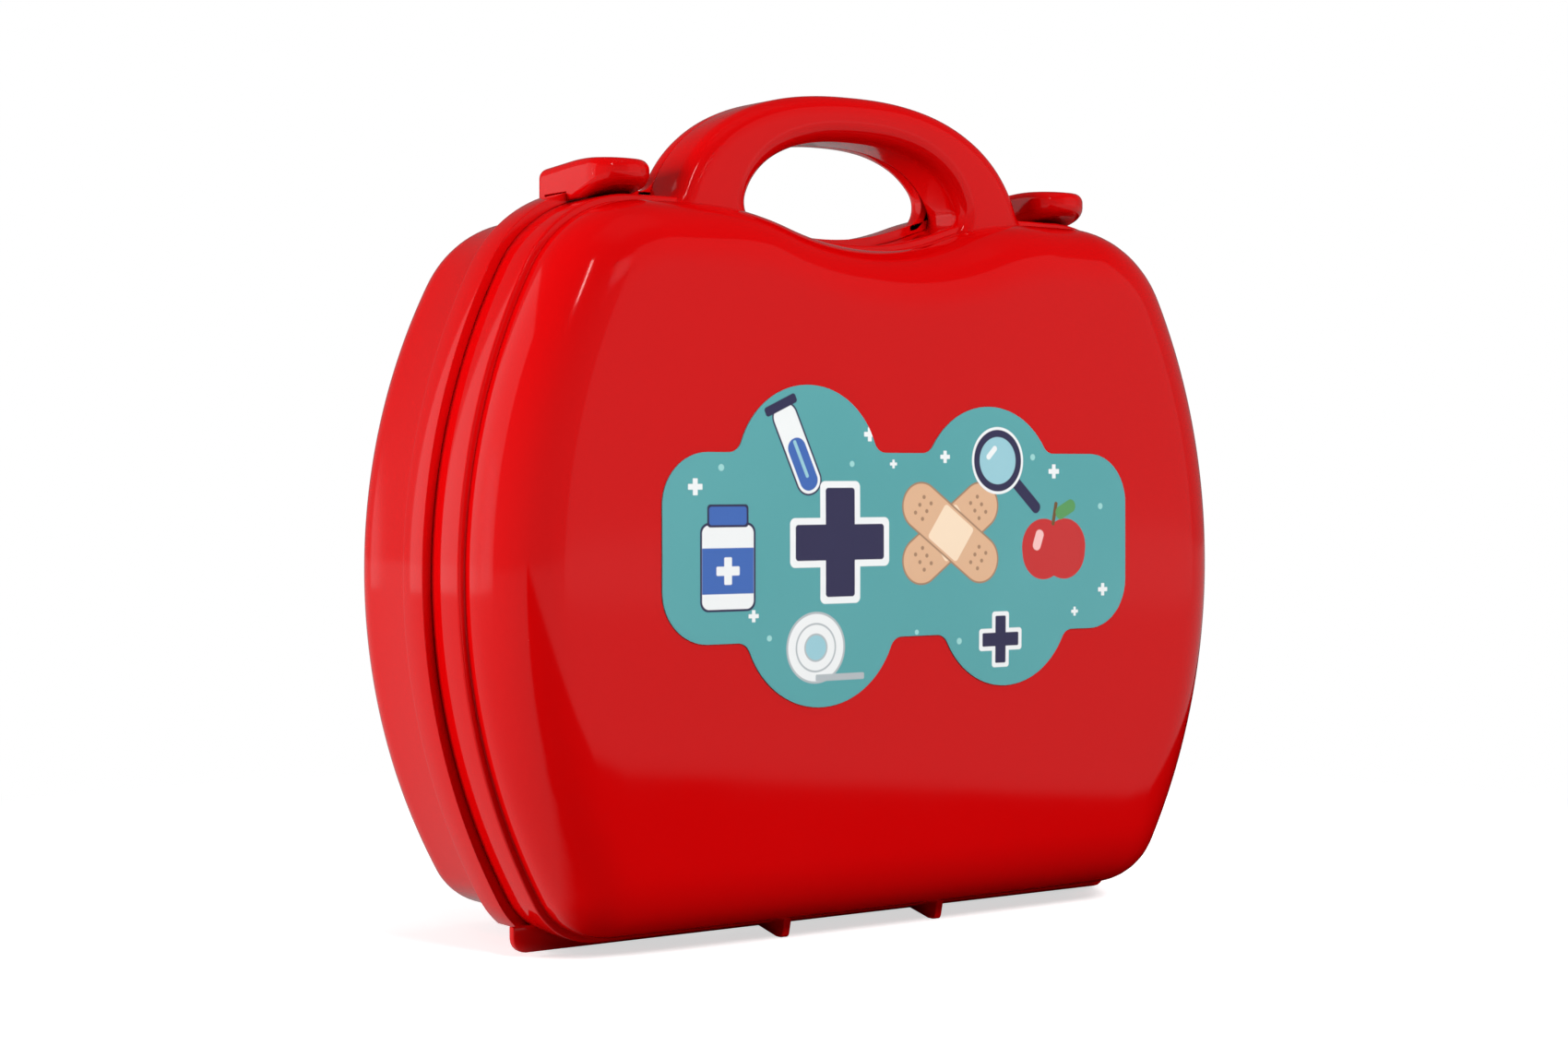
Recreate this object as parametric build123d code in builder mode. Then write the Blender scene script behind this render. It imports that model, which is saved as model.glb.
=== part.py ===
from build123d import *
from math import asin, atan2, cos, degrees, pi, sin, sqrt
import os

# Toy doctor case: two moulded half shells hinged along the bottom, a handle split on the parting
# line, two flip latches that close over the flange on top, and a die-cut label on the front.
# Millimetres. X runs across the case, Y from front (-) to back (+), Z up. The feet stand on Z = 0,
# the hinge axis lies above Y = 0 and the parting line of the two shells a little in front of it.

# --- outline of the case at its flanges, seen from the front ---
CASE_HALF_WIDTH = 128.8
CASE_SIDE_RADIUS = 178.0
CASE_WIDEST_Z = 100.6
CASE_BOTTOM_Z = 1.2
CASE_BOTTOM_CORNER = 25.0
CASE_SHOULDER_Z = 204.0
CASE_TOP_CORNER = 39.5
DIP_HALF_WIDTH = 58.0
DIP_DEPTH = 10.0

# --- moulding ---
WALL = 2.0
SEAM_GAP = 0.2
EDGE_ROUND = 0.8
FACE_CROWN_RADIUS = 2400.0

# --- half shells: insets from the outline, depths from the parting line ---
SEAM_Y = -7.1
FRONT_BAND_INSET = 2.6
FRONT_BAND_DEPTH = 14.4
FRONT_WALL_INSET = 4.5
FRONT_DEPTH = 39.4
FRONT_FACE_ROUND = 19.0
REAR_FLANGE_DEPTH = 11.1
REAR_WALL_INSET = 6.0
REAR_DEPTH = 57.3
REAR_FACE_ROUND = 13.0

# --- lip inside the seam, which centres the front half when the case is shut ---
LIP_THICKNESS = 1.2
LIP_REACH = 2.4
LIP_CLEARANCE = 0.35
LIP_LOWEST_Z = 50.0

# --- handle, split on the parting line ---
HANDLE_TOP_Z = 232.8
HANDLE_FOOT_Z = 185.8
HANDLE_HALF_WIDTH = 61.8
HANDLE_FRONT_DEPTH = 17.0
HANDLE_REAR_DEPTH = 8.4
HANDLE_EDGE_ROUND = 5.8
HANDLE_FLARE = 5.5
GRIP_TOP_Z = 220.1
GRIP_FOOT_Z = 194.0
GRIP_HALF_WIDTH = 38.0
GRIP_CORNER = 6.0
HANDLE_LEG_END_Z = 178.0
ARCH_SQUARENESS = 2.4
ARCH_STEPS = 5

# --- foot rail, feet and hinge along the bottom ---
RAIL_FROM_SIDE = 24.8
RAIL_THICKNESS = 7.4
RAIL_TOP_Z = 8.2
RAIL_REAR_TOP_Z = 5.8
RAIL_CORNER = 4.0
RAIL_END_ROOM = 1.0
RAIL_END_LENGTH = 5.5
RAIL_END_THICKNESS = 2.4
FOOT_WIDTH = 2.4
FOOT_TOP_Z = 7.2
FRONT_FOOT_X = 26.7
FRONT_FOOT_START_REACH = 9.6
FRONT_FOOT_TIP_REACH = 25.2
FRONT_FOOT_TOP_REACH = 26.9
REAR_FOOT_X = 60.0
REAR_FOOT_START = 18.0
REAR_FOOT_REACH = 34.0
HINGE_FROM_SIDE = 48.8
HINGE_AXIS_Z = 3.0
HINGE_BARREL_RADIUS = 2.4
HINGE_ROOM = 0.8
HINGE_PIN_OVERHANG = 0.7
HINGE_WEB_THICKNESS = 2.8
HINGE_WEB_ROOM = 0.2
FRONT_KNUCKLE_WIDTH = 9.0
REAR_KNUCKLE_WIDTH = 7.0
KNUCKLE_END_CLEARANCE = 0.3
PIN_DIAMETER = 1.6
PIN_RUNNING_CLEARANCE = 0.05

# --- flip latches ---
LATCH_FROM_SIDE = 52.4
LATCH_HALF_WIDTH = 9.1
LATCH_TIP_REACH = 26.2
LATCH_TOP_Z = 210.0
LATCH_TIP_RISE = 1.0
LATCH_TAB_THICKNESS = 7.0
LATCH_PAD_LENGTH = 8.0
LATCH_CLEARANCE = 0.5
LATCH_EDGE_ROUND = 2.2
LATCH_BACK_CORNER = 2.0
LATCH_AXIS_Y = 6.7
LATCH_AXIS_RISE = 3.0
LATCH_CHEEK_RADIUS = 2.4
LATCH_KNUCKLE_RADIUS = 1.9
LATCH_KNUCKLE_WIDTH = 7.0
LATCH_PIN_STOP = 2.0

# --- label ---
LABEL_THICKNESS = 0.4
LABEL_CENTRE_Z = 108.0
LABEL_HALF_WIDTH = 80.0
LABEL_BAND_HEIGHT = 50.0
LABEL_CORNER = 14.0
LABEL_BLEND = 4.0
LABEL_LOBES = [(-34.0, 20.0, 23.0), (28.0, 14.0, 24.0), (-30.0, -18.0, 25.0), (34.0, -16.0, 24.0)]

REAR_WALL_TOP_Z = CASE_SHOULDER_Z - REAR_WALL_INSET
REAR_WALL_BOTTOM_Z = CASE_BOTTOM_Z + REAR_WALL_INSET
LATCH_AXIS_Z = REAR_WALL_TOP_Z + LATCH_AXIS_RISE
LATCH_X = CASE_HALF_WIDTH - LATCH_FROM_SIDE
HINGE_X = CASE_HALF_WIDTH - HINGE_FROM_SIDE
RAIL_HALF_LENGTH = CASE_HALF_WIDTH - RAIL_FROM_SIDE
HINGE_RELIEF = HINGE_BARREL_RADIUS + HINGE_ROOM
RELIEF_HALF_LENGTH = RAIL_HALF_LENGTH + RAIL_END_ROOM
RAIL_FRONT_Y = -HINGE_RELIEF - RAIL_THICKNESS
RAIL_MIDDLE_Y = RAIL_FRONT_Y + RAIL_THICKNESS / 2
FRONT_EDGE_Y = SEAM_Y - SEAM_GAP
FRONT_BODY_DEPTH = FRONT_DEPTH - SEAM_GAP
REAR_FLANGE_BACK_Y = SEAM_Y + REAR_FLANGE_DEPTH
LIP_INSET = FRONT_BAND_INSET + WALL + LIP_CLEARANCE
PIN_RADIUS = PIN_DIAMETER / 2

# Plane of each half's seam face: x along the case, y up, z out of that half's face.
FRONT_SEAM = Plane(origin=(0, FRONT_EDGE_Y, 0), x_dir=(1, 0, 0), z_dir=(0, -1, 0))
REAR_SEAM = Plane(origin=(0, SEAM_Y, 0), x_dir=(-1, 0, 0), z_dir=(0, 1, 0))


def case_outline(inset):
    """Outline of the case at its flanges, moved inwards by inset."""
    side_x = CASE_HALF_WIDTH - CASE_SIDE_RADIUS
    bottom_z = CASE_BOTTOM_Z + CASE_BOTTOM_CORNER
    top_z = CASE_SHOULDER_Z - CASE_TOP_CORNER
    bottom_reach = CASE_SIDE_RADIUS - CASE_BOTTOM_CORNER
    top_reach = CASE_SIDE_RADIUS - CASE_TOP_CORNER
    bottom_x = side_x + sqrt(bottom_reach**2 - (bottom_z - CASE_WIDEST_Z) ** 2)
    top_x = side_x + sqrt(top_reach**2 - (top_z - CASE_WIDEST_Z) ** 2)
    low_angle = degrees(atan2(bottom_z - CASE_WIDEST_Z, bottom_x - side_x))
    high_angle = degrees(atan2(top_z - CASE_WIDEST_Z, top_x - side_x))
    dip_radius = (DIP_HALF_WIDTH**2 + DIP_DEPTH**2) / (4 * DIP_DEPTH)
    dip_angle = degrees(asin(DIP_HALF_WIDTH / 2 / dip_radius))
    with BuildSketch() as outline:
        with BuildLine():
            Line((0, CASE_BOTTOM_Z), (bottom_x, CASE_BOTTOM_Z))
            CenterArc((bottom_x, bottom_z), CASE_BOTTOM_CORNER, -90, low_angle + 90)
            CenterArc((side_x, CASE_WIDEST_Z), CASE_SIDE_RADIUS, low_angle, high_angle - low_angle)
            CenterArc((top_x, top_z), CASE_TOP_CORNER, high_angle, 90 - high_angle)
            Line((top_x, CASE_SHOULDER_Z), (DIP_HALF_WIDTH, CASE_SHOULDER_Z))
            CenterArc((DIP_HALF_WIDTH, CASE_SHOULDER_Z - dip_radius), dip_radius, 90, dip_angle)
            CenterArc((0, CASE_SHOULDER_Z - DIP_DEPTH + dip_radius), dip_radius, -90, dip_angle)
            mirror(about=Plane.YZ)
        make_face()
        if inset:
            offset(amount=-inset)
    return outline.sketch


def arch(half_width, foot_z, top_z):
    """Closed arch of the handle or of its grip hole, on straight legs that end inside the shells."""
    height = top_z - foot_z
    angles = [pi / 2 * step / ARCH_STEPS for step in range(ARCH_STEPS)]
    rise = [height * sin(angle) ** (2 / ARCH_SQUARENESS) for angle in angles]
    reach = [half_width * cos(angle) ** (2 / ARCH_SQUARENESS) for angle in angles]
    side = [(x, foot_z + z) for x, z in zip(reach, rise)]
    with BuildSketch() as closed_arch:
        with BuildLine():
            Polyline((0, HANDLE_LEG_END_Z), (half_width, HANDLE_LEG_END_Z), side[0])
            Spline(side + [(0, top_z)], tangents=[(0, 1), (-1, 0)])
            mirror(about=Plane.YZ)
        make_face()
    return closed_arch.sketch


def handle_ring(margin):
    """Flat arch of the handle with its grip hole, thinned by margin on both edges."""
    with BuildSketch() as ring:
        add(arch(HANDLE_HALF_WIDTH - margin, HANDLE_FOOT_Z, HANDLE_TOP_Z - margin))
        add(arch(GRIP_HALF_WIDTH + margin, GRIP_FOOT_Z, GRIP_TOP_Z + margin), mode=Mode.SUBTRACT)
    return ring.sketch


def free_face(solid, seam):
    """Flat face of a half that lies farthest out from its seam."""
    return solid.faces().filter_by(GeomType.PLANE).sort_by(Axis(seam.origin, seam.z_dir))[-1]


def rounded_slab(seam, inset, depth):
    """Flange or band of a half shell, rounded along its free edge."""
    with BuildPart() as slab:
        with BuildSketch(seam):
            add(case_outline(inset))
        extrude(amount=depth)
        fillet(free_face(slab, seam).edges(), EDGE_ROUND)
    return slab.part


def crowned_bowl(seam, inset, depth, rounding, crown_radius):
    """Body of one half, with a slightly crowned face and a large round all the way about it."""
    with BuildPart() as bowl:
        with BuildSketch(seam):
            add(case_outline(inset))
        extrude(amount=depth + EDGE_ROUND)
        with Locations(seam.from_local_coords((0, CASE_WIDEST_Z, depth - crown_radius))):
            Sphere(crown_radius, mode=Mode.INTERSECT)
        fillet(bowl.faces().filter_by(GeomType.SPHERE)[0].edges(), rounding)
    return bowl.part


def handle_half(seam, body_inset, depth):
    """Solid half of the handle, flared into the top of its half shell and rounded on its free side."""
    with BuildSketch() as front_view:
        add(handle_ring(0))
        add(case_outline(body_inset))
        arches = front_view.edges().filter_by(GeomType.BSPLINE)
        body_edges = front_view.edges().filter_by(GeomType.BSPLINE, reverse=True)
        roots = (arches.vertices() & body_edges.vertices()).sort_by(lambda root: abs(root.X))
        fillet(roots[:2], GRIP_CORNER)
        fillet(roots[2:], HANDLE_FLARE)
    with BuildPart() as half:
        with BuildSketch(seam):
            add(front_view.sketch)
        extrude(amount=depth)
        fillet(free_face(half, seam).edges(), HANDLE_EDGE_ROUND)
    return half.part


def handle_hollow(seam, depth):
    """Hollow of one half of the handle, open at both legs into the case."""
    with BuildPart() as hollow:
        with BuildSketch(seam):
            add(handle_ring(WALL))
        extrude(amount=depth)
        fillet(free_face(hollow, seam).edges(), HANDLE_EDGE_ROUND - WALL)
    return hollow.part


def box_between(low, high):
    """Box that fills the space between two opposite corners."""
    size = [top - bottom for bottom, top in zip(low, high)]
    with BuildPart() as box:
        with Locations(low):
            Box(*size, align=(Align.MIN, Align.MIN, Align.MIN))
    return box.part


def knuckle(centre_x, width, axis, radius, web_low, web_high, bore_radius):
    """Knuckle on an axis along X, with the web that ties it to its shell; points are (y, z)."""
    web_size = [high - low for low, high in zip(web_low, web_high)]
    with BuildPart() as barrel:
        with BuildSketch(Plane.YZ.offset(centre_x)):
            with Locations(axis):
                Circle(radius)
            with Locations(web_low):
                Rectangle(*web_size, align=(Align.MIN, Align.MIN))
            with Locations(axis):
                Circle(bore_radius, mode=Mode.SUBTRACT)
        extrude(amount=width / 2, both=True)
    return barrel.part


def pin(low_x, high_x, axis):
    """Straight steel pin on an axis along X; the axis is given as (y, z)."""
    with BuildPart() as rod:
        with BuildSketch(Plane.YZ.offset(low_x)):
            with Locations(axis):
                Circle(PIN_RADIUS)
        extrude(amount=high_x - low_x)
    return rod.part


def latch_body(centre_x):
    """Flip latch: a tongue over both flanges, two cheeks round the knuckle and a blind pin bore."""
    cheek_y = LATCH_AXIS_Y - LATCH_CHEEK_RADIUS
    back_y = LATCH_AXIS_Y + LATCH_CHEEK_RADIUS
    under_z = CASE_SHOULDER_Z + LATCH_CLEARANCE
    tab_z = LATCH_TOP_Z - LATCH_TAB_THICKNESS
    pad_z = CASE_SHOULDER_Z - FRONT_BAND_INSET + LATCH_CLEARANCE
    step_y = SEAM_Y - LATCH_CLEARANCE
    pad_y = step_y - LATCH_PAD_LENGTH
    nose_y = LATCH_HALF_WIDTH - LATCH_TIP_REACH
    low_x = centre_x - LATCH_HALF_WIDTH
    high_x = centre_x + LATCH_HALF_WIDTH
    slot_room = LATCH_KNUCKLE_RADIUS + LATCH_CLEARANCE
    slot_half_width = LATCH_KNUCKLE_WIDTH / 2 + LATCH_CLEARANCE
    slot_low = (centre_x - slot_half_width, LATCH_AXIS_Y - slot_room, REAR_WALL_TOP_Z)
    slot_high = (centre_x + slot_half_width, back_y + LATCH_CLEARANCE, LATCH_AXIS_Z + slot_room)
    with BuildPart() as latch:
        with BuildSketch(Plane.YZ.offset(centre_x)):
            with BuildLine():
                Polyline(
                    (back_y, LATCH_AXIS_Z),
                    (back_y, LATCH_TOP_Z),
                    (-LATCH_TIP_REACH, LATCH_TOP_Z + LATCH_TIP_RISE),
                    (-LATCH_TIP_REACH, tab_z + LATCH_TIP_RISE),
                    (pad_y, tab_z),
                    (pad_y, pad_z),
                    (step_y, pad_z),
                    (step_y, under_z),
                    (cheek_y, under_z),
                    (cheek_y, LATCH_AXIS_Z),
                )
                CenterArc((LATCH_AXIS_Y, LATCH_AXIS_Z), LATCH_CHEEK_RADIUS, 180, 180)
            make_face()
        extrude(amount=LATCH_HALF_WIDTH, both=True)
        with BuildSketch(Plane.XY.offset(REAR_WALL_TOP_Z)):
            with BuildLine():
                Polyline((high_x, nose_y), (high_x, back_y), (low_x, back_y), (low_x, nose_y))
                CenterArc((centre_x, nose_y), LATCH_HALF_WIDTH, 180, 180)
            make_face()
        extrude(amount=HANDLE_TOP_Z - REAR_WALL_TOP_Z, mode=Mode.INTERSECT)
        fillet(latch.edges().filter_by(Axis.Z).group_by(Axis.Y)[-1], LATCH_BACK_CORNER)
        fillet(latch.faces().sort_by(Axis.Z)[-1].edges(), LATCH_EDGE_ROUND)
        add(box_between(slot_low, slot_high), mode=Mode.SUBTRACT)
        with BuildSketch(Plane.YZ.offset(low_x + LATCH_PIN_STOP)):
            with Locations((LATCH_AXIS_Y, LATCH_AXIS_Z)):
                Circle(PIN_RADIUS + PIN_RUNNING_CLEARANCE)
        extrude(amount=2 * LATCH_HALF_WIDTH, mode=Mode.SUBTRACT)
    return latch.part


def latch_pin(centre_x):
    """Pin of one latch, pushed in from the +X side up to the blind end of its bore."""
    low_x = centre_x - LATCH_HALF_WIDTH + LATCH_PIN_STOP + KNUCKLE_END_CLEARANCE
    high_x = centre_x + LATCH_HALF_WIDTH - KNUCKLE_END_CLEARANCE
    return pin(low_x, high_x, (LATCH_AXIS_Y, LATCH_AXIS_Z))


def hinge_pin(centre_x):
    """Pin of one hinge, through its three knuckles."""
    knuckles = FRONT_KNUCKLE_WIDTH / 2 + KNUCKLE_END_CLEARANCE + REAR_KNUCKLE_WIDTH
    half_length = knuckles + HINGE_PIN_OVERHANG
    return pin(centre_x - half_length, centre_x + half_length, (0, HINGE_AXIS_Z))


# --- front half: crowned face, band, handle half, foot rail, two feet, hinge knuckles ---
with BuildPart() as front_shell:
    add(crowned_bowl(FRONT_SEAM, FRONT_WALL_INSET, FRONT_BODY_DEPTH, FRONT_FACE_ROUND, FACE_CROWN_RADIUS))
    add(rounded_slab(FRONT_SEAM, FRONT_BAND_INSET, FRONT_BAND_DEPTH - SEAM_GAP))
    add(handle_half(FRONT_SEAM, FRONT_WALL_INSET, HANDLE_FRONT_DEPTH - SEAM_GAP))
    for foot_x in (-FRONT_FOOT_X, FRONT_FOOT_X):
        with BuildSketch(Plane.YZ.offset(foot_x)):
            with BuildLine():
                Polyline(
                    (-FRONT_FOOT_START_REACH, FOOT_TOP_Z),
                    (-FRONT_FOOT_START_REACH, 0),
                    (-FRONT_FOOT_TIP_REACH, 0),
                    (-FRONT_FOOT_TOP_REACH, FOOT_TOP_Z),
                    close=True,
                )
            make_face()
        extrude(amount=FOOT_WIDTH / 2, both=True)
    add(
        crowned_bowl(
            FRONT_SEAM,
            FRONT_WALL_INSET + WALL,
            FRONT_BODY_DEPTH - WALL,
            FRONT_FACE_ROUND - WALL,
            FACE_CROWN_RADIUS - WALL,
        ),
        mode=Mode.SUBTRACT,
    )
    add(handle_hollow(FRONT_SEAM, HANDLE_FRONT_DEPTH - SEAM_GAP - WALL), mode=Mode.SUBTRACT)
    with BuildSketch(FRONT_SEAM):
        add(case_outline(FRONT_BAND_INSET + WALL))
    extrude(amount=FRONT_BAND_DEPTH - WALL - SEAM_GAP, mode=Mode.SUBTRACT)
    rail_height = RAIL_TOP_Z - CASE_BOTTOM_Z
    with BuildSketch(Plane.XZ.offset(HINGE_RELIEF)):
        with Locations((0, CASE_BOTTOM_Z)):
            Rectangle(2 * RAIL_HALF_LENGTH, rail_height, align=(Align.CENTER, Align.MIN))
        fillet(vertices().group_by(Axis.Y)[0], RAIL_CORNER)
    extrude(amount=RAIL_THICKNESS)
    add(
        box_between(
            (-RELIEF_HALF_LENGTH, FRONT_EDGE_Y, RAIL_REAR_TOP_Z),
            (RELIEF_HALF_LENGTH, 0, RAIL_TOP_Z),
        ),
        mode=Mode.SUBTRACT,
    )
    for end_x in (-RAIL_HALF_LENGTH, RAIL_HALF_LENGTH - RAIL_END_LENGTH):
        add(
            box_between(
                (end_x, RAIL_FRONT_Y + RAIL_END_THICKNESS, 0),
                (end_x + RAIL_END_LENGTH, 0, RAIL_TOP_Z),
            ),
            mode=Mode.SUBTRACT,
        )
    for hinge_x in (-HINGE_X, HINGE_X):
        add(
            knuckle(
                hinge_x,
                FRONT_KNUCKLE_WIDTH,
                (0, HINGE_AXIS_Z),
                HINGE_BARREL_RADIUS,
                (RAIL_MIDDLE_Y, HINGE_AXIS_Z - HINGE_WEB_THICKNESS / 2),
                (0, HINGE_AXIS_Z + HINGE_WEB_THICKNESS / 2),
                PIN_RADIUS + PIN_RUNNING_CLEARANCE,
            )
        )

# --- rear half: bowl, grooved flange, handle half, locating lip, feet, hinge and latch knuckles ---
with BuildPart() as rear_shell:
    add(crowned_bowl(REAR_SEAM, REAR_WALL_INSET, REAR_DEPTH, REAR_FACE_ROUND, FACE_CROWN_RADIUS))
    add(rounded_slab(REAR_SEAM, 0, REAR_FLANGE_DEPTH))
    add(handle_half(REAR_SEAM, 0, HANDLE_REAR_DEPTH))
    with BuildSketch(REAR_SEAM):
        add(case_outline(WALL))
        add(case_outline(LIP_INSET), mode=Mode.SUBTRACT)
        add(handle_ring(0), mode=Mode.SUBTRACT)
    extrude(amount=REAR_FLANGE_DEPTH - WALL, mode=Mode.SUBTRACT)
    with BuildSketch(REAR_SEAM):
        add(case_outline(LIP_INSET))
        add(case_outline(LIP_INSET + LIP_THICKNESS), mode=Mode.SUBTRACT)
        add(handle_ring(0), mode=Mode.SUBTRACT)
        Rectangle(2 * CASE_HALF_WIDTH, 2 * LIP_LOWEST_Z, mode=Mode.SUBTRACT)
    extrude(amount=-LIP_REACH)
    for foot_x in (-REAR_FOOT_X, REAR_FOOT_X):
        add(
            box_between(
                (foot_x - FOOT_WIDTH / 2, REAR_FOOT_START, 0),
                (foot_x + FOOT_WIDTH / 2, REAR_FOOT_REACH, REAR_WALL_BOTTOM_Z + WALL / 2),
            )
        )
    add(
        crowned_bowl(
            REAR_SEAM,
            REAR_WALL_INSET + WALL,
            REAR_DEPTH - WALL,
            REAR_FACE_ROUND - WALL,
            FACE_CROWN_RADIUS - WALL,
        ),
        mode=Mode.SUBTRACT,
    )
    add(handle_hollow(REAR_SEAM, HANDLE_REAR_DEPTH - WALL), mode=Mode.SUBTRACT)
    add(
        box_between(
            (-RELIEF_HALF_LENGTH, SEAM_Y, 0),
            (RELIEF_HALF_LENGTH, REAR_FLANGE_BACK_Y, REAR_WALL_BOTTOM_Z),
        ),
        mode=Mode.SUBTRACT,
    )
    knuckle_step = (FRONT_KNUCKLE_WIDTH + REAR_KNUCKLE_WIDTH) / 2 + KNUCKLE_END_CLEARANCE
    for hinge_x in (-HINGE_X, HINGE_X):
        for side in (-1, 1):
            add(
                knuckle(
                    hinge_x + side * knuckle_step,
                    REAR_KNUCKLE_WIDTH,
                    (0, HINGE_AXIS_Z),
                    HINGE_BARREL_RADIUS,
                    (HINGE_WEB_ROOM, HINGE_AXIS_Z),
                    (HINGE_WEB_ROOM + HINGE_WEB_THICKNESS, REAR_WALL_BOTTOM_Z + WALL / 2),
                    PIN_RADIUS,
                )
            )
    for latch_x in (-LATCH_X, LATCH_X):
        add(
            knuckle(
                latch_x,
                LATCH_KNUCKLE_WIDTH,
                (LATCH_AXIS_Y, LATCH_AXIS_Z),
                LATCH_KNUCKLE_RADIUS,
                (LATCH_AXIS_Y - LATCH_KNUCKLE_RADIUS, REAR_WALL_TOP_Z - WALL / 2),
                (LATCH_AXIS_Y + LATCH_KNUCKLE_RADIUS, LATCH_AXIS_Z),
                PIN_RADIUS,
            )
        )

# --- label: one die-cut sheet, bent to the crown of the front face ---
crown_centre = FRONT_SEAM.from_local_coords((0, CASE_WIDEST_Z, FRONT_BODY_DEPTH - FACE_CROWN_RADIUS))
with BuildPart() as front_label:
    with BuildSketch(FRONT_SEAM) as label_outline:
        with Locations((0, LABEL_CENTRE_Z)):
            RectangleRounded(2 * LABEL_HALF_WIDTH, LABEL_BAND_HEIGHT, LABEL_CORNER)
        for lobe_x, lobe_z, lobe_radius in LABEL_LOBES:
            with Locations((lobe_x, LABEL_CENTRE_Z + lobe_z)):
                Circle(lobe_radius)
        corners = label_outline.vertices()
        notches = corners.filter_by(lambda corner: abs(corner.X) < LABEL_HALF_WIDTH - LABEL_CORNER)
        fillet(notches, LABEL_BLEND)
    extrude(amount=FRONT_DEPTH + LABEL_THICKNESS)
    with Locations(crown_centre):
        Sphere(FACE_CROWN_RADIUS + LABEL_THICKNESS, mode=Mode.INTERSECT)
        Sphere(FACE_CROWN_RADIUS, mode=Mode.SUBTRACT)

# --- latches and pins ---
with BuildPart() as latch_left:
    add(latch_body(-LATCH_X))
with BuildPart() as latch_right:
    add(latch_body(LATCH_X))
with BuildPart() as latch_pin_left:
    add(latch_pin(-LATCH_X))
with BuildPart() as latch_pin_right:
    add(latch_pin(LATCH_X))
with BuildPart() as hinge_pin_left:
    add(hinge_pin(-HINGE_X))
with BuildPart() as hinge_pin_right:
    add(hinge_pin(HINGE_X))

front_shell.part.label = "front_shell"
rear_shell.part.label = "rear_shell"
front_label.part.label = "front_label"
latch_left.part.label = "latch_left"
latch_right.part.label = "latch_right"
latch_pin_left.part.label = "latch_pin_left"
latch_pin_right.part.label = "latch_pin_right"
hinge_pin_left.part.label = "hinge_pin_left"
hinge_pin_right.part.label = "hinge_pin_right"

os.makedirs("parts", exist_ok=True)
export_step(front_shell.part, "parts/front_shell.step")
export_step(rear_shell.part, "parts/rear_shell.step")
export_step(front_label.part, "parts/front_label.step")
export_step(latch_left.part, "parts/latch_left.step")
export_step(latch_right.part, "parts/latch_right.step")
export_step(latch_pin_left.part, "parts/latch_pin_left.step")
export_step(latch_pin_right.part, "parts/latch_pin_right.step")
export_step(hinge_pin_left.part, "parts/hinge_pin_left.step")
export_step(hinge_pin_right.part, "parts/hinge_pin_right.step")
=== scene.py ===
import math

import bmesh
import bpy
import numpy as np
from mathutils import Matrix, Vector


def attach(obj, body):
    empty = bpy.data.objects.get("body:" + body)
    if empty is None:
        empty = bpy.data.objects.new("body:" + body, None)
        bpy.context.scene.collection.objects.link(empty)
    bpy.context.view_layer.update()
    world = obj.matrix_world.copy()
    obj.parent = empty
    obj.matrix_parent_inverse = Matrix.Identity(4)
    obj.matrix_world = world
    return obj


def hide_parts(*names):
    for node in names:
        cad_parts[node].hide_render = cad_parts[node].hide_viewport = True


bl_info = {
    "name": "Toy Doctor Case",
    "version": (1, 0, 0),
    "blender": (4, 5, 0),
    "location": "View3D > Sidebar > Toy Case",
    "description": "Dresses a toy doctor case: glossy half shells, flip latches, label and plain studio",
    "category": "Object",
}

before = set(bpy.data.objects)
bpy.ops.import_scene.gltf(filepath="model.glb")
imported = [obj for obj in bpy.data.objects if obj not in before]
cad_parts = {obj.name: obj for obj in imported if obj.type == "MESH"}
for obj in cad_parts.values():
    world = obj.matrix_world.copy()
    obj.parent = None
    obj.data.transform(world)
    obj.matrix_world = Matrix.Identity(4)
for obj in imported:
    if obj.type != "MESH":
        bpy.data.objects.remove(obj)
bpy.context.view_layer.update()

MM = 0.001
OUTLINE_STEP = 2.2 * MM
ARCH_STEP = 1.2 * MM
FINE_STEP = 0.4 * MM
OVERLAP = 0.1 * MM


def length(name, millimetres, description):
    return bpy.props.FloatProperty(
        name=name, description=description, default=millimetres * MM, min=0.0, unit="LENGTH", precision=4
    )


def angle(name, radians, description):
    return bpy.props.FloatProperty(name=name, description=description, default=radians, subtype="ANGLE")


def number(name, value, description, low=0.0, high=100.0):
    return bpy.props.FloatProperty(name=name, description=description, default=value, min=low, max=high)


def colour(name, rgb, description):
    return bpy.props.FloatVectorProperty(
        name=name, description=description, default=rgb, size=3, min=0.0, max=1.0, subtype="COLOR"
    )


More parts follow.
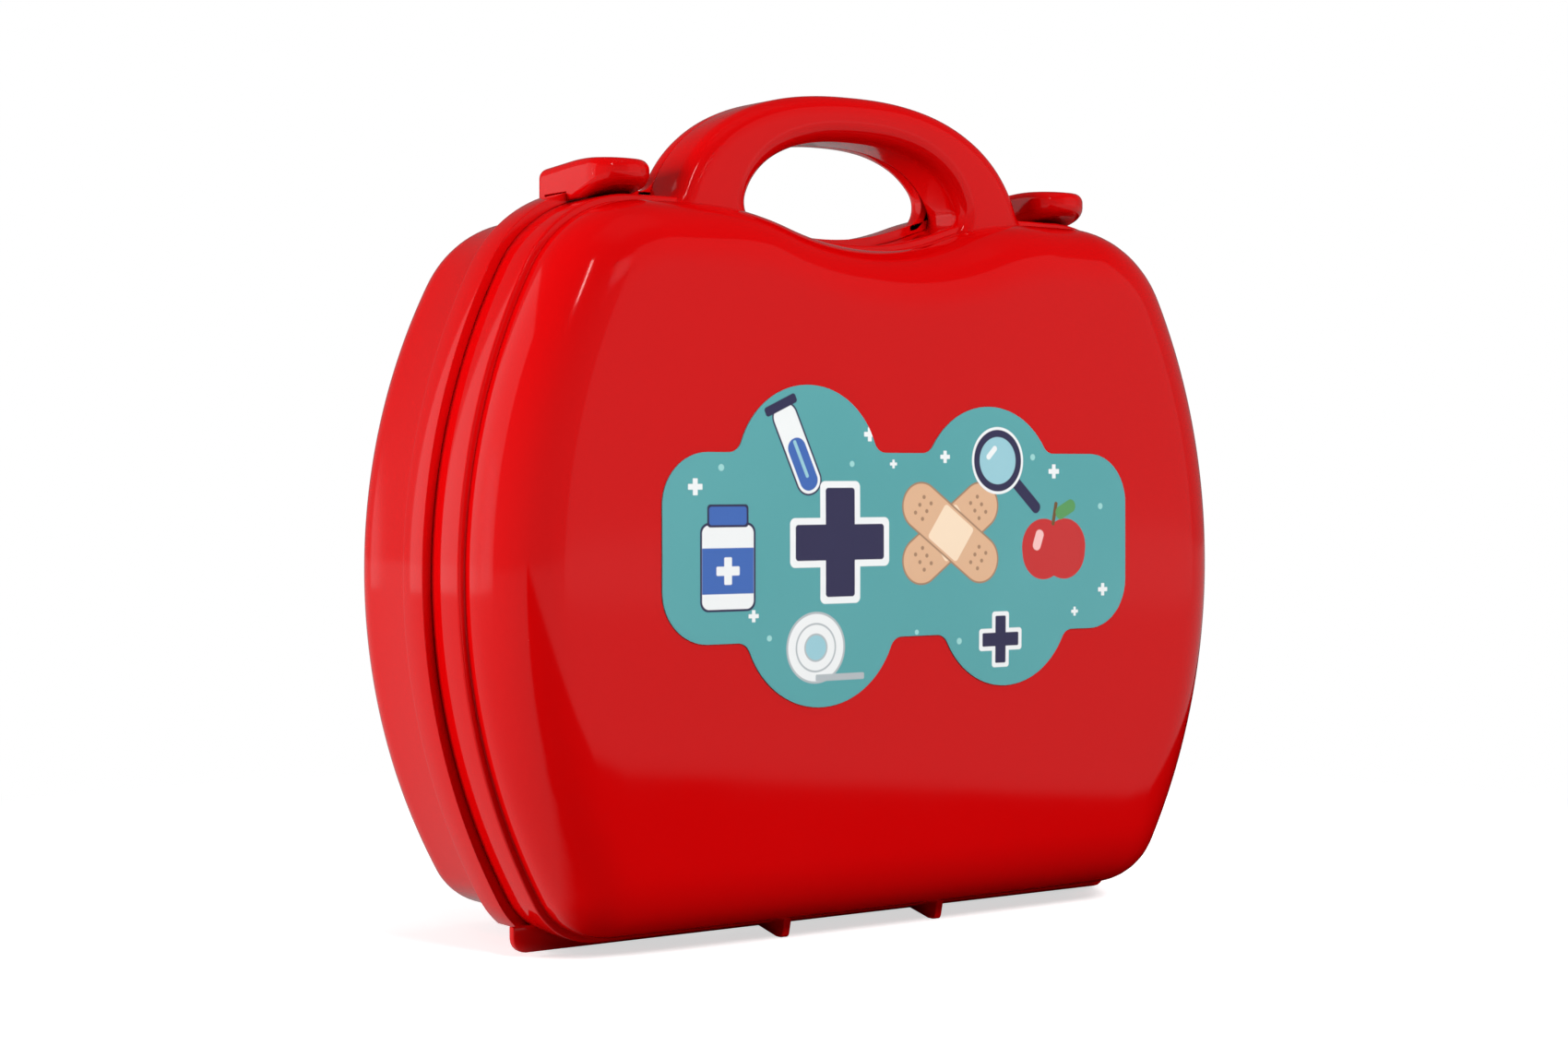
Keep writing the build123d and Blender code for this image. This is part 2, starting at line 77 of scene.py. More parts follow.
class CaseSizes(bpy.types.PropertyGroup):
    half_width: length("Half width", 128.8, "Half of the width across the flanges")
    side_radius: length("Side radius", 178.0, "Radius of the bulging sides")
    widest_height: length("Widest height", 100.6, "Height at which the case is widest")
    bottom_height: length("Bottom height", 1.2, "Height of the flange bottom above the ground")
    bottom_corner: length("Bottom corner", 25.0, "Radius of the bottom corners")
    shoulder_height: length("Shoulder height", 204.0, "Height of the shoulders beside the handle")
    top_corner: length("Top corner", 39.5, "Radius of the top corners")
    dip_half_width: length("Dip half width", 58.0, "Half width of the dip under the handle")
    dip_depth: length("Dip depth", 10.0, "Depth of the dip under the handle")
    wall: length("Wall", 2.0, "Wall of the mouldings")
    seam_gap: length("Seam gap", 0.2, "Gap between the two halves")
    seam_forward: length("Seam forward", 7.1, "How far the parting plane lies in front of the hinge axis")
    groove_outer: length("Groove outer", 2.58, "From the outline in to the outer wall of the groove")
    groove_inner: length("Groove inner", 4.95, "From the outline in to the inner wall of the groove")
    relief_half_length: length("Relief half length", 105.0, "Half the length of the relief for the rail")
    relief_height: length("Relief height", 7.2, "Height of the relief for the rail")
    edge_round: length("Edge round", 0.8, "Round along the free edges of flange and band")
    crown_radius: length("Crown radius", 2400.0, "Radius of the crowned faces")


class FrontHalfSizes(bpy.types.PropertyGroup):
    rim_inset: length("Rim inset", 2.6, "Step from the outline in to the rim of the half")
    rim_depth: length("Rim depth", 14.4, "Depth of the rim from the parting line")
    wall_inset: length("Wall inset", 4.5, "Step from the outline in to the wall")
    depth: length("Depth", 39.4, "Depth of the half at the middle of its face")
    face_round: length("Face round", 19.0, "Large round about the face")
    handle_depth: length("Handle depth", 17.0, "Depth of this half of the handle")


class RearHalfSizes(bpy.types.PropertyGroup):
    rim_inset: length("Rim inset", 0.0, "Step from the outline in to the rim of the half")
    rim_depth: length("Rim depth", 11.1, "Depth of the rim from the parting line")
    wall_inset: length("Wall inset", 6.0, "Step from the outline in to the wall")
    depth: length("Depth", 57.3, "Depth of the half at the middle of its face")
    face_round: length("Face round", 13.0, "Large round about the face")
    handle_depth: length("Handle depth", 8.4, "Depth of this half of the handle")


class HandleSizes(bpy.types.PropertyGroup):
    top: length("Top", 232.8, "Height of the top of the handle")
    foot: length("Foot", 185.8, "Height where the handle is widest")
    half_width: length("Half width", 61.8, "Half width of the handle")
    edge_round: length("Edge round", 5.8, "Round along the free edge of the handle")
    flare: length("Flare", 5.5, "Round between the handle and the shoulders")
    grip_top: length("Grip top", 220.1, "Height of the top of the grip hole")
    grip_foot: length("Grip foot", 194.0, "Height where the grip hole is widest")
    grip_half_width: length("Grip half width", 38.0, "Half width of the grip hole")
    grip_corner: length("Grip corner", 6.0, "Round between the grip hole and the case")
    sunk_foot: length("Sunk foot", 1.5, "How deep the feet of the handle reach into the case")
    squareness: number("Squareness", 2.4, "Squareness of the arches", 2.0, 4.0)


class RailSizes(bpy.types.PropertyGroup):
    half_length: length("Half length", 104.0, "Half the length of the plate of the rail")
    end_length: length("End length", 5.5, "How far the plate runs past its root at each end")
    top: length("Top", 8.2, "Height of the top of the plate and the root")
    corner: length("Corner", 4.0, "Radius of the lower corners")
    front: length("Front", 10.6, "From the hinge axis to the front of the plate")
    plate_back: length("Plate back", 8.2, "From the hinge axis to the back of the plate")
    root_back: length("Root back", 7.3, "From the hinge axis to the back of the root")
    sole_back: length("Sole back", 3.2, "From the hinge axis to the back of the sole")
    sole_top: length("Sole top", 5.8, "Height of the top of the sole")
    edge: length("Edge", 0.4, "Softening of the edges")


class FootSizes(bpy.types.PropertyGroup):
    front_reach: length("Front reach", 26.7, "From the middle of the case to the middle of a front foot")
    root: length("Root", 9.6, "From the hinge axis to the root of a front foot")
    top: length("Top", 7.2, "Height of the top of a front foot")
    heel_height: length("Heel height", 2.8, "Height of the underside of a front foot at its root")
    heel: length("Heel", 22.2, "From the hinge axis to the back of the tread of a front foot")
    toe: length("Toe", 25.2, "From the hinge axis to the front of the tread of a front foot")
    tip: length("Tip", 26.9, "From the hinge axis to the upper tip of a front foot")
    corner: length("Corner", 1.4, "Rounding of the tread of a front foot")
    rear_reach: length("Rear reach", 60.0, "From the middle of the case to the middle of a rear foot")
    rear_near: length("Rear near", 18.0, "From the hinge axis to the near end of a rear foot")
    rear_far: length("Rear far", 34.0, "From the hinge axis to the far end of a rear foot")
    rear_top: length("Rear top", 8.2, "Height of the top of a rear foot")
    half_thickness: length("Half thickness", 1.2, "Half the thickness of a foot")
    edge: length("Edge", 0.3, "Softening of the edges")


class HingeSizes(bpy.types.PropertyGroup):
    reach: length("Reach", 80.0, "From the middle of the case to the middle of a hinge")
    axis_height: length("Axis height", 3.0, "Height of the pins of the lid")
    radius: length("Radius", 2.4, "Radius of the barrels")
    front_half_width: length("Front half width", 4.5, "Half the width of the barrel on the front half")
    front_web_far: length("Front web far", 6.9, "From the axis to the far end of the front web")
    front_web_near: length("Front web near", 0.5, "From the axis to the near end of the front web")
    front_web_half: length("Front web half", 1.4, "Half the height of the front web")
    rear_shift: length("Rear shift", 8.3, "From the middle of a hinge to the middle of a rear barrel")
    rear_half_width: length("Rear half width", 3.5, "Half the width of a rear barrel")
    rear_web_near: length("Rear web near", 0.2, "From the axis to the near side of the web of a rear barrel")
    rear_web_far: length("Rear web far", 3.0, "From the axis to the far side of the web of a rear barrel")
    rear_web_top: length("Rear web top", 8.2, "Height of the top of the web of a rear barrel")
    latch_radius: length("Latch radius", 1.9, "Radius of the barrels under the latches")
    latch_half_width: length("Latch half width", 3.5, "Half the width of a barrel under a latch")
    latch_web_height: length("Latch web height", 4.0, "Height of the web under a latch barrel")
    edge: length("Edge", 0.2, "Softening of the edges")


class LipSizes(bpy.types.PropertyGroup):
    outer: length("Outer", 4.95, "From the outline in to the outside of the lip")
    inner: length("Inner", 6.15, "From the outline in to the inside of the lip")
    behind: length("Behind", 0.5, "How far the lip reaches into the rear half")
    ahead: length("Ahead", 2.4, "How far the lip stands out in front of the parting plane")
    start_height: length("Start height", 50.0, "Height at which the lip begins on each side")
    grip_height: length("Grip height", 150.0, "Height above which the lip also runs under the grip hole")
    room: length("Room", 1.0, "Room between the lip and the handle")
    edge: length("Edge", 0.2, "Softening of the edges")


class LatchSizes(bpy.types.PropertyGroup):
    middle_reach: length("Middle reach", 76.4, "From the middle of the case to the middle of a latch")
    half_width: length("Half width", 9.1, "Half the width of the pad")
    tip_reach: length("Tip reach", 26.2, "How far the tip stands in front of the hinge axis of the lid")
    back_reach: length("Back reach", 9.1, "How far the barrel stands behind the hinge axis of the lid")
    top_height: length("Top height", 210.0, "Height of the top of the pad at its back")
    tip_rise: length("Tip rise", 2.4, "How much the pad rises towards its tip")
    tip_droop: length("Tip droop", 2.4, "How much the tip is rounded down")
    tip_thickness: length("Tip thickness", 6.4, "Thickness at the tip")
    crown: length("Crown", 0.6, "How much the top falls towards its sides")
    root_reach: length("Root reach", 12.5, "Where the underside leaves the front half")
    lean_length: length("Lean length", 5.0, "Over how much length the lower rounding grows towards the tip")
    tip_under_round: length("Tip under round", 3.2, "Rounding of the lower edge at the tip")
    band_step: length("Band step", 2.6, "Drop from the flange to the band of the front half")
    clearance: length("Clearance", 0.15, "Gap between the pad and the case")
    edge_round: length("Edge round", 2.4, "Rounding of the top edge")
    under_round: length("Under round", 0.4, "Rounding of the lower edge")
    back_corner: length("Back corner", 2.8, "Rounding of the corners at the pin")
    axis_reach: length("Axis reach", 6.7, "How far the pin stands behind the hinge axis of the lid")
    axis_height: length("Axis height", 201.0, "Height of the pin")
    cheek_radius: length("Cheek radius", 2.4, "Radius of the barrel")
    slot_half_width: length("Slot half width", 4.0, "Half the width of the slot for the knuckle")


class FinishSettings(bpy.types.PropertyGroup):
    case_red: colour("Case red", (0.54, 0.0004, 0.0008), "Colour of the moulded plastic")
    dust: colour("Dust", (0.72, 0.2, 0.19), "Colour of the dust specks on the plastic")
    label_teal: colour("Label teal", (0.095, 0.345, 0.36), "Ground colour of the label")
    pin_grey: colour("Pin grey", (0.55, 0.55, 0.56), "Colour of the drawn wire pins")
    gloss_roughness: number("Gloss roughness", 0.07, "Roughness of the moulded plastic", 0.0, 1.0)
    case_wave: number("Case wave", 1.0, "Strength of the faint waves in the shells", 0.0, 4.0)
    latch_wave: number("Latch wave", 0.4, "Strength of the faint waves in the latches", 0.0, 4.0)
    label_height: length("Label height", 108.0, "Height of the middle of the label")


class StageSettings(bpy.types.PropertyGroup):
    camera_azimuth: angle("Camera azimuth", math.radians(36.0), "How far left of the front it stands")
    camera_distance: length("Camera distance", 780.0, "Distance of the camera from the middle of the case")
    camera_height: length("Camera height", 127.7, "Height of the camera")
    camera_tilt: angle("Camera tilt", -0.0186, "How far the camera looks up")
    camera_swing: angle("Camera swing", -0.0097, "How far the camera looks to the right of the case")
    camera_lens: number("Camera lens", 62.38, "Focal length in millimetres", 10.0, 300.0)
    room_light: number("Room light", 0.16, "Strength of the light from all round")
    low_reflection: number("Low reflection", 0.2, "What shiny parts reflect near the horizon")
    high_reflection: number("High reflection", 0.05, "What shiny parts reflect from above")
    paper_grey: number("Paper grey", 0.86, "Lightness of the paper under the case", 0.0, 1.0)
    paper_glow: number("Paper glow", 0.62, "Glow of the paper under the case")
    shadow_near: length("Shadow near", 220.0, "Reach of the paper that takes the shadow in full")
    shadow_far: length("Shadow far", 420.0, "Reach past which the paper is plain white")
    mirror_middle: length("Mirror middle", 180.0, "Middle of the dark paper that the gloss reflects")
    mirror_near: length("Mirror near", 240.0, "Where the dark stretch begins to end")
    mirror_far: length("Mirror far", 270.0, "Where the dark stretch has ended")
    mirror_ripple: length("Mirror ripple", 20.0, "Unevenness of the end of the dark stretch")
    mirror_glow: number("Mirror glow", 0.34, "Brightness of the reflected paper past the dark stretch")
    bounce_grey: number("Bounce grey", 0.5, "Lightness of the paper for light that it throws back", 0.0, 1.0)


# ---------------------------------------------------------------- outlines


def joined(pieces):
    """Points and outward directions of several stretches, without the points where they meet twice."""
    points = np.concatenate([piece[0] for piece in pieces])
    outward = np.concatenate([piece[1] for piece in pieces])
    gaps = np.linalg.norm(np.roll(points, 1, axis=0) - points, axis=1)
    keep = gaps > 1e-7
    return points[keep], outward[keep]


def straight(start, end, outward, step):
    count = max(1, int(np.linalg.norm(np.subtract(end, start)) / step))
    share = np.linspace(0.0, 1.0, count + 1)[:, None]
    points = np.array(start) * (1 - share) + np.array(end) * share
    return points, np.tile(np.array(outward, float), (count + 1, 1))


def arc(centre, radius, start, end, step, hollow=False):
    count = max(2, int(abs(end - start) * radius / step), int(abs(end - start) / math.radians(4)))
    angles = np.linspace(start, end, count + 1)
    ray = np.stack([np.cos(angles), np.sin(angles)], axis=1)
    return np.array(centre) + radius * ray, -ray if hollow else ray


def dip_radius(case):
    """Radius of the four arcs that make the dip under the handle."""
    return (case.dip_half_width**2 + case.dip_depth**2) / (4 * case.dip_depth)


def case_outline(case):
    """Flange outline seen from the front, anticlockwise from the middle of the bottom."""
    step = OUTLINE_STEP
    side_x = case.half_width - case.side_radius
    bottom_z = case.bottom_height + case.bottom_corner
    top_z = case.shoulder_height - case.top_corner
    below, above = bottom_z - case.widest_height, top_z - case.widest_height
    bottom_x = side_x + math.sqrt((case.side_radius - case.bottom_corner) ** 2 - below**2)
    top_x = side_x + math.sqrt((case.side_radius - case.top_corner) ** 2 - above**2)
    low = math.atan2(below, bottom_x - side_x)
    high = math.atan2(above, top_x - side_x)
    bend = dip_radius(case)
    dip_angle = math.asin(case.dip_half_width / 2 / bend)
    quarter = math.pi / 2
    dip_low = case.shoulder_height - case.dip_depth
    pieces = [
        straight((0, case.bottom_height), (bottom_x, case.bottom_height), (0, -1), step),
        arc((bottom_x, bottom_z), case.bottom_corner, -quarter, low, step),
        arc((side_x, case.widest_height), case.side_radius, low, high, step),
        arc((top_x, top_z), case.top_corner, high, quarter, step),
        straight((top_x, case.shoulder_height), (case.dip_half_width, case.shoulder_height), (0, 1), step),
        arc((case.dip_half_width, case.shoulder_height - bend), bend, quarter, quarter + dip_angle, step),
        arc((0, dip_low + bend), bend, dip_angle - quarter, -quarter, step, hollow=True),
    ]
    flip = np.array([-1.0, 1.0])
    pieces += [(points[::-1] * flip, outward[::-1] * flip) for points, outward in reversed(pieces)]
    return joined(pieces)


def rounded_path(corners, rounds, count=5):
    """Path in (inset, depth) whose corners are rounded by the given radii."""
    corners = [np.array(corner, float) for corner in corners]
    path = [corners[0]]
    for before, corner, after, radius in zip(corners, corners[1:], corners[2:], rounds):
        to_before = (before - corner) / np.linalg.norm(before - corner)
        to_after = (after - corner) / np.linalg.norm(after - corner)
        if radius <= 0:
            path.append(corner)
            continue
        for share in np.linspace(0.0, math.pi / 2, count + 1):
            back, ahead = 1 - math.sin(share), 1 - math.cos(share)
            path.append(corner + radius * (back * to_before + ahead * to_after))
    path.append(corners[-1])
    return path


# ---------------------------------------------------------------- meshes

FRONT, REAR = -1, 1
SHARP_ANGLE = math.radians(32)
HANDLE_POINTS = 61
FLARE_STEPS = 12
QUARTER_STEPS = 6
# How far a sharp corner may be stretched when its outline is drawn in.
MITRE_LIMIT = 0.3
# Rings of the crowned face, from its edge in to a share of its width that a fan closes.
FACE_RINGS = 14
FAN_SHARE = 0.06
# Length of straight wall that is left to the large round.
BEFORE_ROUND = 4 * MM


class Builder:
    """Collects rings of points into one mesh."""

    def __init__(self):
        self.points = []
        self.faces = []

    def ring(self, points):
        first = len(self.points)
        self.points.extend(tuple(map(float, point)) for point in points)
        return list(range(first, first + len(points)))

    def band(self, low, high, closed=True):
        count = len(low)
        for i in range(count if closed else count - 1):
            j = (i + 1) % count
            self.faces.append((low[i], low[j], high[j], high[i]))

    def cap(self, ring, turned=False):
        self.faces.append(tuple(reversed(ring)) if turned else tuple(ring))

    def fan(self, ring, point):
        centre = self.ring([point])[0]
        for i, start in enumerate(ring):
            self.faces.append((start, ring[(i + 1) % len(ring)], centre))

    def mesh(self, name):
        """Mesh of all rings, with merged doubles, outward faces and sharp edges."""
        mesh = bpy.data.meshes.new(name)
        mesh.from_pydata(self.points, [], self.faces)
        work = bmesh.new()
        work.from_mesh(mesh)
        bmesh.ops.remove_doubles(work, verts=work.verts, dist=1e-7)
        bmesh.ops.recalc_face_normals(work, faces=work.faces)
        work.to_mesh(mesh)
        work.free()
        mesh.shade_smooth()
        mesh.set_sharp_from_angle(angle=SHARP_ANGLE)
        return mesh


def placed(case, points, depth, side):
    """Outline points of one half at a depth from the parting plane."""
    depth = np.broadcast_to(depth, len(points))
    return np.stack([points[:, 0], side * depth - case.seam_forward, points[:, 1]], axis=1)


def face_rings(builder, outline, case, side, inset, depth, rounding, crown, steps):
    """Rings of the large round and the crowned face of one skin, from the wall in, and the face's middle."""
    points, outward = outline
    middle = np.array([0.0, case.widest_height])
    sphere_depth = depth - crown
    centres = points - outward * (inset + rounding)
    reach = np.linalg.norm(centres - middle, axis=1)
    centre_depth = sphere_depth + np.sqrt((crown - rounding) ** 2 - reach**2)
    ray = np.concatenate([centres - middle, (centre_depth - sphere_depth)[:, None]], axis=1)
    ray /= crown - rounding
    side_ray = np.concatenate([outward, np.zeros((len(outward), 1))], axis=1)
    spread = np.arccos(np.clip((ray * side_ray).sum(axis=1), -1, 1))
    rings = []
    for share in np.linspace(0.0, 1.0, steps + 1):
        turn = (np.sin((1 - share) * spread) / np.sin(spread))[:, None] * side_ray
        turn += (np.sin(share * spread) / np.sin(spread))[:, None] * ray
        flat = centres + rounding * turn[:, :2]
        rings.append(builder.ring(placed(case, flat, centre_depth + rounding * turn[:, 2], side)))
    rim = centres + rounding * ray[:, :2]
    for share in np.linspace(1.0, FAN_SHARE, FACE_RINGS + 1)[1:]:
        flat = middle + (rim - middle) * share
        fall = np.linalg.norm(flat - middle, axis=1)
        rings.append(builder.ring(placed(case, flat, sphere_depth + np.sqrt(crown**2 - fall**2), side)))
    return rings, (0.0, side * depth - case.seam_forward, case.widest_height)


def relieved(case, rim, inset):
    """Lift the bottom of a rear rim to the wall along the hinge, where the rail of the front half passes."""
    lifted = rim.copy()
    # A trace of its own height keeps each rim apart from the next.
    trace = 0.01
    floor = case.relief_height - trace * max(case.relief_height - inset, 0.0)
    along_rail = np.abs(rim[:, 0]) < case.relief_half_length
    lifted[along_rail, 1] = np.maximum(rim[along_rail, 1], floor)
    return lifted


def half_shell(builder, case, half, side):
    """Thin-walled half shell: rim, wall, large round and crowned face; the rear rim has an open groove."""
    outline = case_outline(case)
    points, outward = outline
    wall = case.wall
    start = case.seam_gap if side == FRONT else 0.0
    soft = case.edge_round
    fine = soft / 4
    step, deep = half.rim_inset, half.rim_depth
    skin = half.wall_inset + wall
    if side == FRONT:
        outer = [(step + wall, start), (step, start), (step, deep), (half.wall_inset, deep)]
        rounds = [fine / 4, soft, fine]
        inner = [(skin, deep - wall), (step + wall, deep - wall), (step + wall, start)]
    else:
        tongue, lap = case.groove_inner, case.groove_outer
        groove_end = deep - wall
        outer = [(skin, 0), (tongue, 0), (tongue, groove_end), (lap, groove_end), (lap, 0)]
        outer += [(0, 0), (0, deep), (half.wall_inset, deep)]
        rounds = [fine, 0, 0, 0, fine, soft, fine]
        inner = [(skin, 0)]
    wall_end = (half.wall_inset, half.depth - half.face_round - BEFORE_ROUND)
    path = rounded_path(outer + [wall_end], rounds)
    rims = [points - outward * inset for inset, level in path]
    if side == REAR:
        rims = [relieved(case, rim, inset) for rim, (inset, level) in zip(rims, path)]
    rings = [builder.ring(placed(case, rim, level, side)) for rim, (inset, level) in zip(rims, path)]
    depth, rounding, crown = half.depth, half.face_round, case.crown_radius
    inset = half.wall_inset
    face, centre = face_rings(builder, outline, case, side, inset, depth, rounding, crown, steps=14)
    rings += face
    for low, high in zip(rings, rings[1:]):
        builder.band(low, high)
    builder.fan(rings[-1], centre)
    depth, rounding, crown = depth - wall, rounding - wall, crown - wall
    inside, centre = face_rings(builder, outline, case, side, skin, depth, rounding, crown, steps=8)
    inner_rims = [placed(case, points - outward * inset, level, side) for inset, level in inner]
    inner_rings = [builder.ring(rim) for rim in inner_rims]
    chain = inner_rings[::-1] + inside
    for low, high in zip(chain, chain[1:]):
        builder.band(high, low)
    builder.fan(chain[-1][::-1], centre)
    builder.band(rings[0], chain[0])


def half_arch(half_width, foot, top, power, samples=4000):
    """Right half of an arch, from its foot up to the crown, with its outward directions."""
    turn = np.linspace(0.0, math.pi / 2, samples)
    x = half_width * np.cos(turn) ** (2 / power)
    z = (top - foot) * np.sin(turn) ** (2 / power)
    run = np.concatenate([[0], np.cumsum(np.hypot(np.diff(x), np.diff(z)))])
    at = np.linspace(0, run[-1], int(run[-1] / ARCH_STEP))
    x, z = np.interp(at, run, x), np.interp(at, run, z)
    slope_x = np.maximum(x, 0) ** (power - 1) / half_width**power
    slope_z = z ** (power - 1) / (top - foot) ** power
    slope = np.stack([slope_x, slope_z], axis=1)
    outward = slope / np.linalg.norm(slope, axis=1)[:, None]
    return np.stack([x, z + foot], axis=1), outward


def flare(points, outward, radius, target):
    """First point of an arch that stays, and the centre of the arc that blends it into the case.

    target(centre) is zero where that arc touches the case.
    """
    centres = points + outward * radius
    values = np.array([target(centre) for centre in centres])
    crossing = int(np.argmax(values > 0))
    share = -values[crossing - 1] / (values[crossing] - values[crossing - 1])
    return crossing, centres[crossing - 1] * (1 - share) + centres[crossing] * share


def sweep(centre, radius, start, end, count):
    """Points of a hollow arc about centre, turning the short way round; outward points at the centre."""
    first = math.atan2(*(start - centre)[::-1])
    last = math.atan2(*(end - centre)[::-1])
    last = first + (last - first + math.pi) % (2 * math.pi) - math.pi
    angles = np.linspace(first, last, count + 1)
    ray = np.stack([np.cos(angles), np.sin(angles)], axis=1)
    return centre + radius * ray, -ray


def case_top(case, x):
    """Height of the top of the case above a place across it."""
    bend = dip_radius(case)
    x = np.minimum(np.abs(x), case.dip_half_width)
    shoulder = case.shoulder_height - bend + np.sqrt(bend**2 - (case.dip_half_width - x) ** 2)
    valley = case.shoulder_height - case.dip_depth + bend - np.sqrt(bend**2 - x**2)
    return np.where(x > case.dip_half_width / 2, shoulder, valley)


def even(points, outward, count):
    """The same line with evenly spread points."""
    run = np.concatenate([[0], np.cumsum(np.linalg.norm(np.diff(points, axis=0), axis=1))])
    at = np.linspace(0, run[-1], count)
    points = np.stack([np.interp(at, run, points[:, k]) for k in range(2)], axis=1)
    outward = np.stack([np.interp(at, run, outward[:, k]) for k in range(2)], axis=1)
    return points, outward / np.linalg.norm(outward, axis=1)[:, None]


def rooted(root, arch, first):
    """Line with evenly spread points, from the root of a foot up to the crown of its arch."""
    points, outward = (np.concatenate([low[:-1], high[first:]]) for low, high in zip(root, arch))
    return even(points, outward, HANDLE_POINTS)


def handle_edges(case, handle, inset):
    """Outer and inner edge of the handle from its right foot over the crown to its left foot."""
    shoulder = case.shoulder_height - inset
    hub = np.array([case.dip_half_width, case.shoulder_height - dip_radius(case)])
    skin = dip_radius(case) - inset
    points, outward = half_arch(handle.half_width, handle.foot, handle.top, handle.squareness)
    first, centre = flare(points, outward, handle.flare, lambda spot: spot[1] - shoulder - handle.flare)
    root = sweep(centre, handle.flare, np.array([centre[0], shoulder]), points[first], FLARE_STEPS)
    outer = rooted(root, (points, outward), first)

    points, outward = half_arch(handle.grip_half_width, handle.grip_foot, handle.grip_top, handle.squareness)
    corner = handle.grip_corner
    first, centre = flare(points, -outward, corner, lambda spot: np.linalg.norm(spot - hub) - skin - corner)
    start = hub + (centre - hub) / np.linalg.norm(centre - hub) * skin
    root = sweep(centre, corner, start, points[first], FLARE_STEPS)
    inner = rooted(root, (points, -outward), first)
    flip = np.array([-1.0, 1.0])
    return [tuple(np.concatenate([line, line[-2::-1] * flip]) for line in edge) for edge in (outer, inner)]


def handle_half(builder, case, handle, half, side):
    """Channel-shaped half of the handle, swept over the crown from foot to foot."""
    inset = half.wall_inset if side == FRONT else 0.0
    edges = handle_edges(case, handle, inset)
    start = case.seam_gap if side == FRONT else 0.0
    wall, soft, deep = case.wall, handle.edge_round, half.handle_depth
    fine = case.edge_round / 3
    outside = rounded_path([(wall, start), (0, start), (0, deep), (2 * soft, deep)], [fine, soft], 8)[:-1]
    inside = rounded_path([(wall, start), (wall, deep - wall), (2 * soft, deep - wall)], [soft - wall])[:-1]
    section = [(0, margin, depth) for margin, depth in outside]
    section += [(1, margin, depth) for margin, depth in reversed(outside)]
    section += [(1, margin, depth) for margin, depth in inside[1:]]
    section += [(0, margin, depth) for margin, depth in reversed(inside[1:])]
    floor = [case_top(case, points[:, 0]) - inset - handle.sunk_foot for points, outward in edges]
    lines = []
    for edge, margin, depth in section:
        points, outward = edges[edge]
        flat = points - outward * margin
        flat[:, 1] = np.maximum(flat[:, 1], floor[edge])
        sole = flat[[0, -1]].copy()
        sole[:, 1] = np.minimum(sole[:, 1], floor[edge][[0, -1]])
        flat = np.concatenate([sole[:1], flat, sole[1:]])
        lines.append(builder.ring(placed(case, flat, depth, side)))
    lines.append(lines[0])
    for low, high in zip(lines, lines[1:]):
        builder.band(low, high, closed=False)
    for end in (0, -1):
        builder.cap([line[end] for line in lines[:-1]], turned=end == 0)


def bar(builder, outline, outward, low, high, edge, place):
    """Prism with softened edges; place turns outline points and a level into points in space."""
    # The ends of the path only guide the softening.
    path = rounded_path([(4 * edge, low), (0, low), (0, high), (4 * edge, high)], [edge, edge], 3)[1:-1]
    rings = [builder.ring(place(outline - outward * margin, level)) for margin, level in path]
    for under, over in zip(rings, rings[1:]):
        builder.band(under, over)
    builder.cap(rings[0], turned=True)
    builder.cap(rings[-1])


def softened(corners, radii, count=5):
    """Closed outline with rounded corners and its outward directions, mitred where a corner stays sharp."""
    total = len(corners)
    loop = []
    for i in range(total):
        before, corner, after = (np.array(corners[(i + k) % total], float) for k in (-1, 0, 1))
        to_before = (before - corner) / np.linalg.norm(before - corner)
        to_after = (after - corner) / np.linalg.norm(after - corner)
        half_angle = math.acos(np.clip(to_before @ to_after, -1, 1)) / 2
        reach = radii[i] / math.tan(half_angle)
        start, end = corner + to_before * reach, corner + to_after * reach
        if radii[i] <= 0:
            loop.append(corner)
            continue
        inward = (to_before + to_after) / np.linalg.norm(to_before + to_after)
        middle = corner + inward * radii[i] / math.sin(half_angle)
        loop.extend(sweep(middle, radii[i], start, end, count)[0])
    loop = np.array(loop)
    ahead = np.roll(loop, -1, axis=0) - loop
    ahead /= np.linalg.norm(ahead, axis=1)[:, None]
    normal = np.stack([ahead[:, 1], -ahead[:, 0]], axis=1)
    mixed = normal + np.roll(normal, 1, axis=0)
    mixed /= np.linalg.norm(mixed, axis=1)[:, None]
    stretch = np.clip((mixed * normal).sum(axis=1), MITRE_LIMIT, 1)[:, None]
    area = np.sum(loop[:, 0] * np.roll(loop[:, 1], -1) - np.roll(loop[:, 0], -1) * loop[:, 1])
    return loop, mixed / stretch * np.sign(area)


def across(points, level):
    """Outline in (Y, Z), level along X."""
    return np.stack([np.full(len(points), level), points[:, 0], points[:, 1]], axis=1)


def along(points, level):
    """Outline in (X, Z), level along -Y."""
    return np.stack([points[:, 0], np.full(len(points), -level), points[:, 1]], axis=1)


def latch_plan(latch):
    """Outline of a latch seen from above, with a round tip and rounded corners at the pin."""
    half, corner, step = latch.half_width, latch.back_corner, FINE_STEP
    nose, back = half - latch.tip_reach, latch.back_reach - corner
    pieces = [
        arc((0, nose), half, math.pi, 2 * math.pi, step),
        straight((half, nose), (half, back), (1, 0), step),
        arc((half - corner, back), corner, 0, math.pi / 2, step),
        straight((half - corner, latch.back_reach), (corner - half, latch.back_reach), (0, 1), step),
        arc((corner - half, back), corner, math.pi / 2, math.pi, step),
        straight((-half, back), (-half, nose), (-1, 0), step),
    ]
    points = np.concatenate([piece[0][:-1] for piece in pieces])
    outward = np.concatenate([piece[1][:-1] for piece in pieces])
    return points, outward


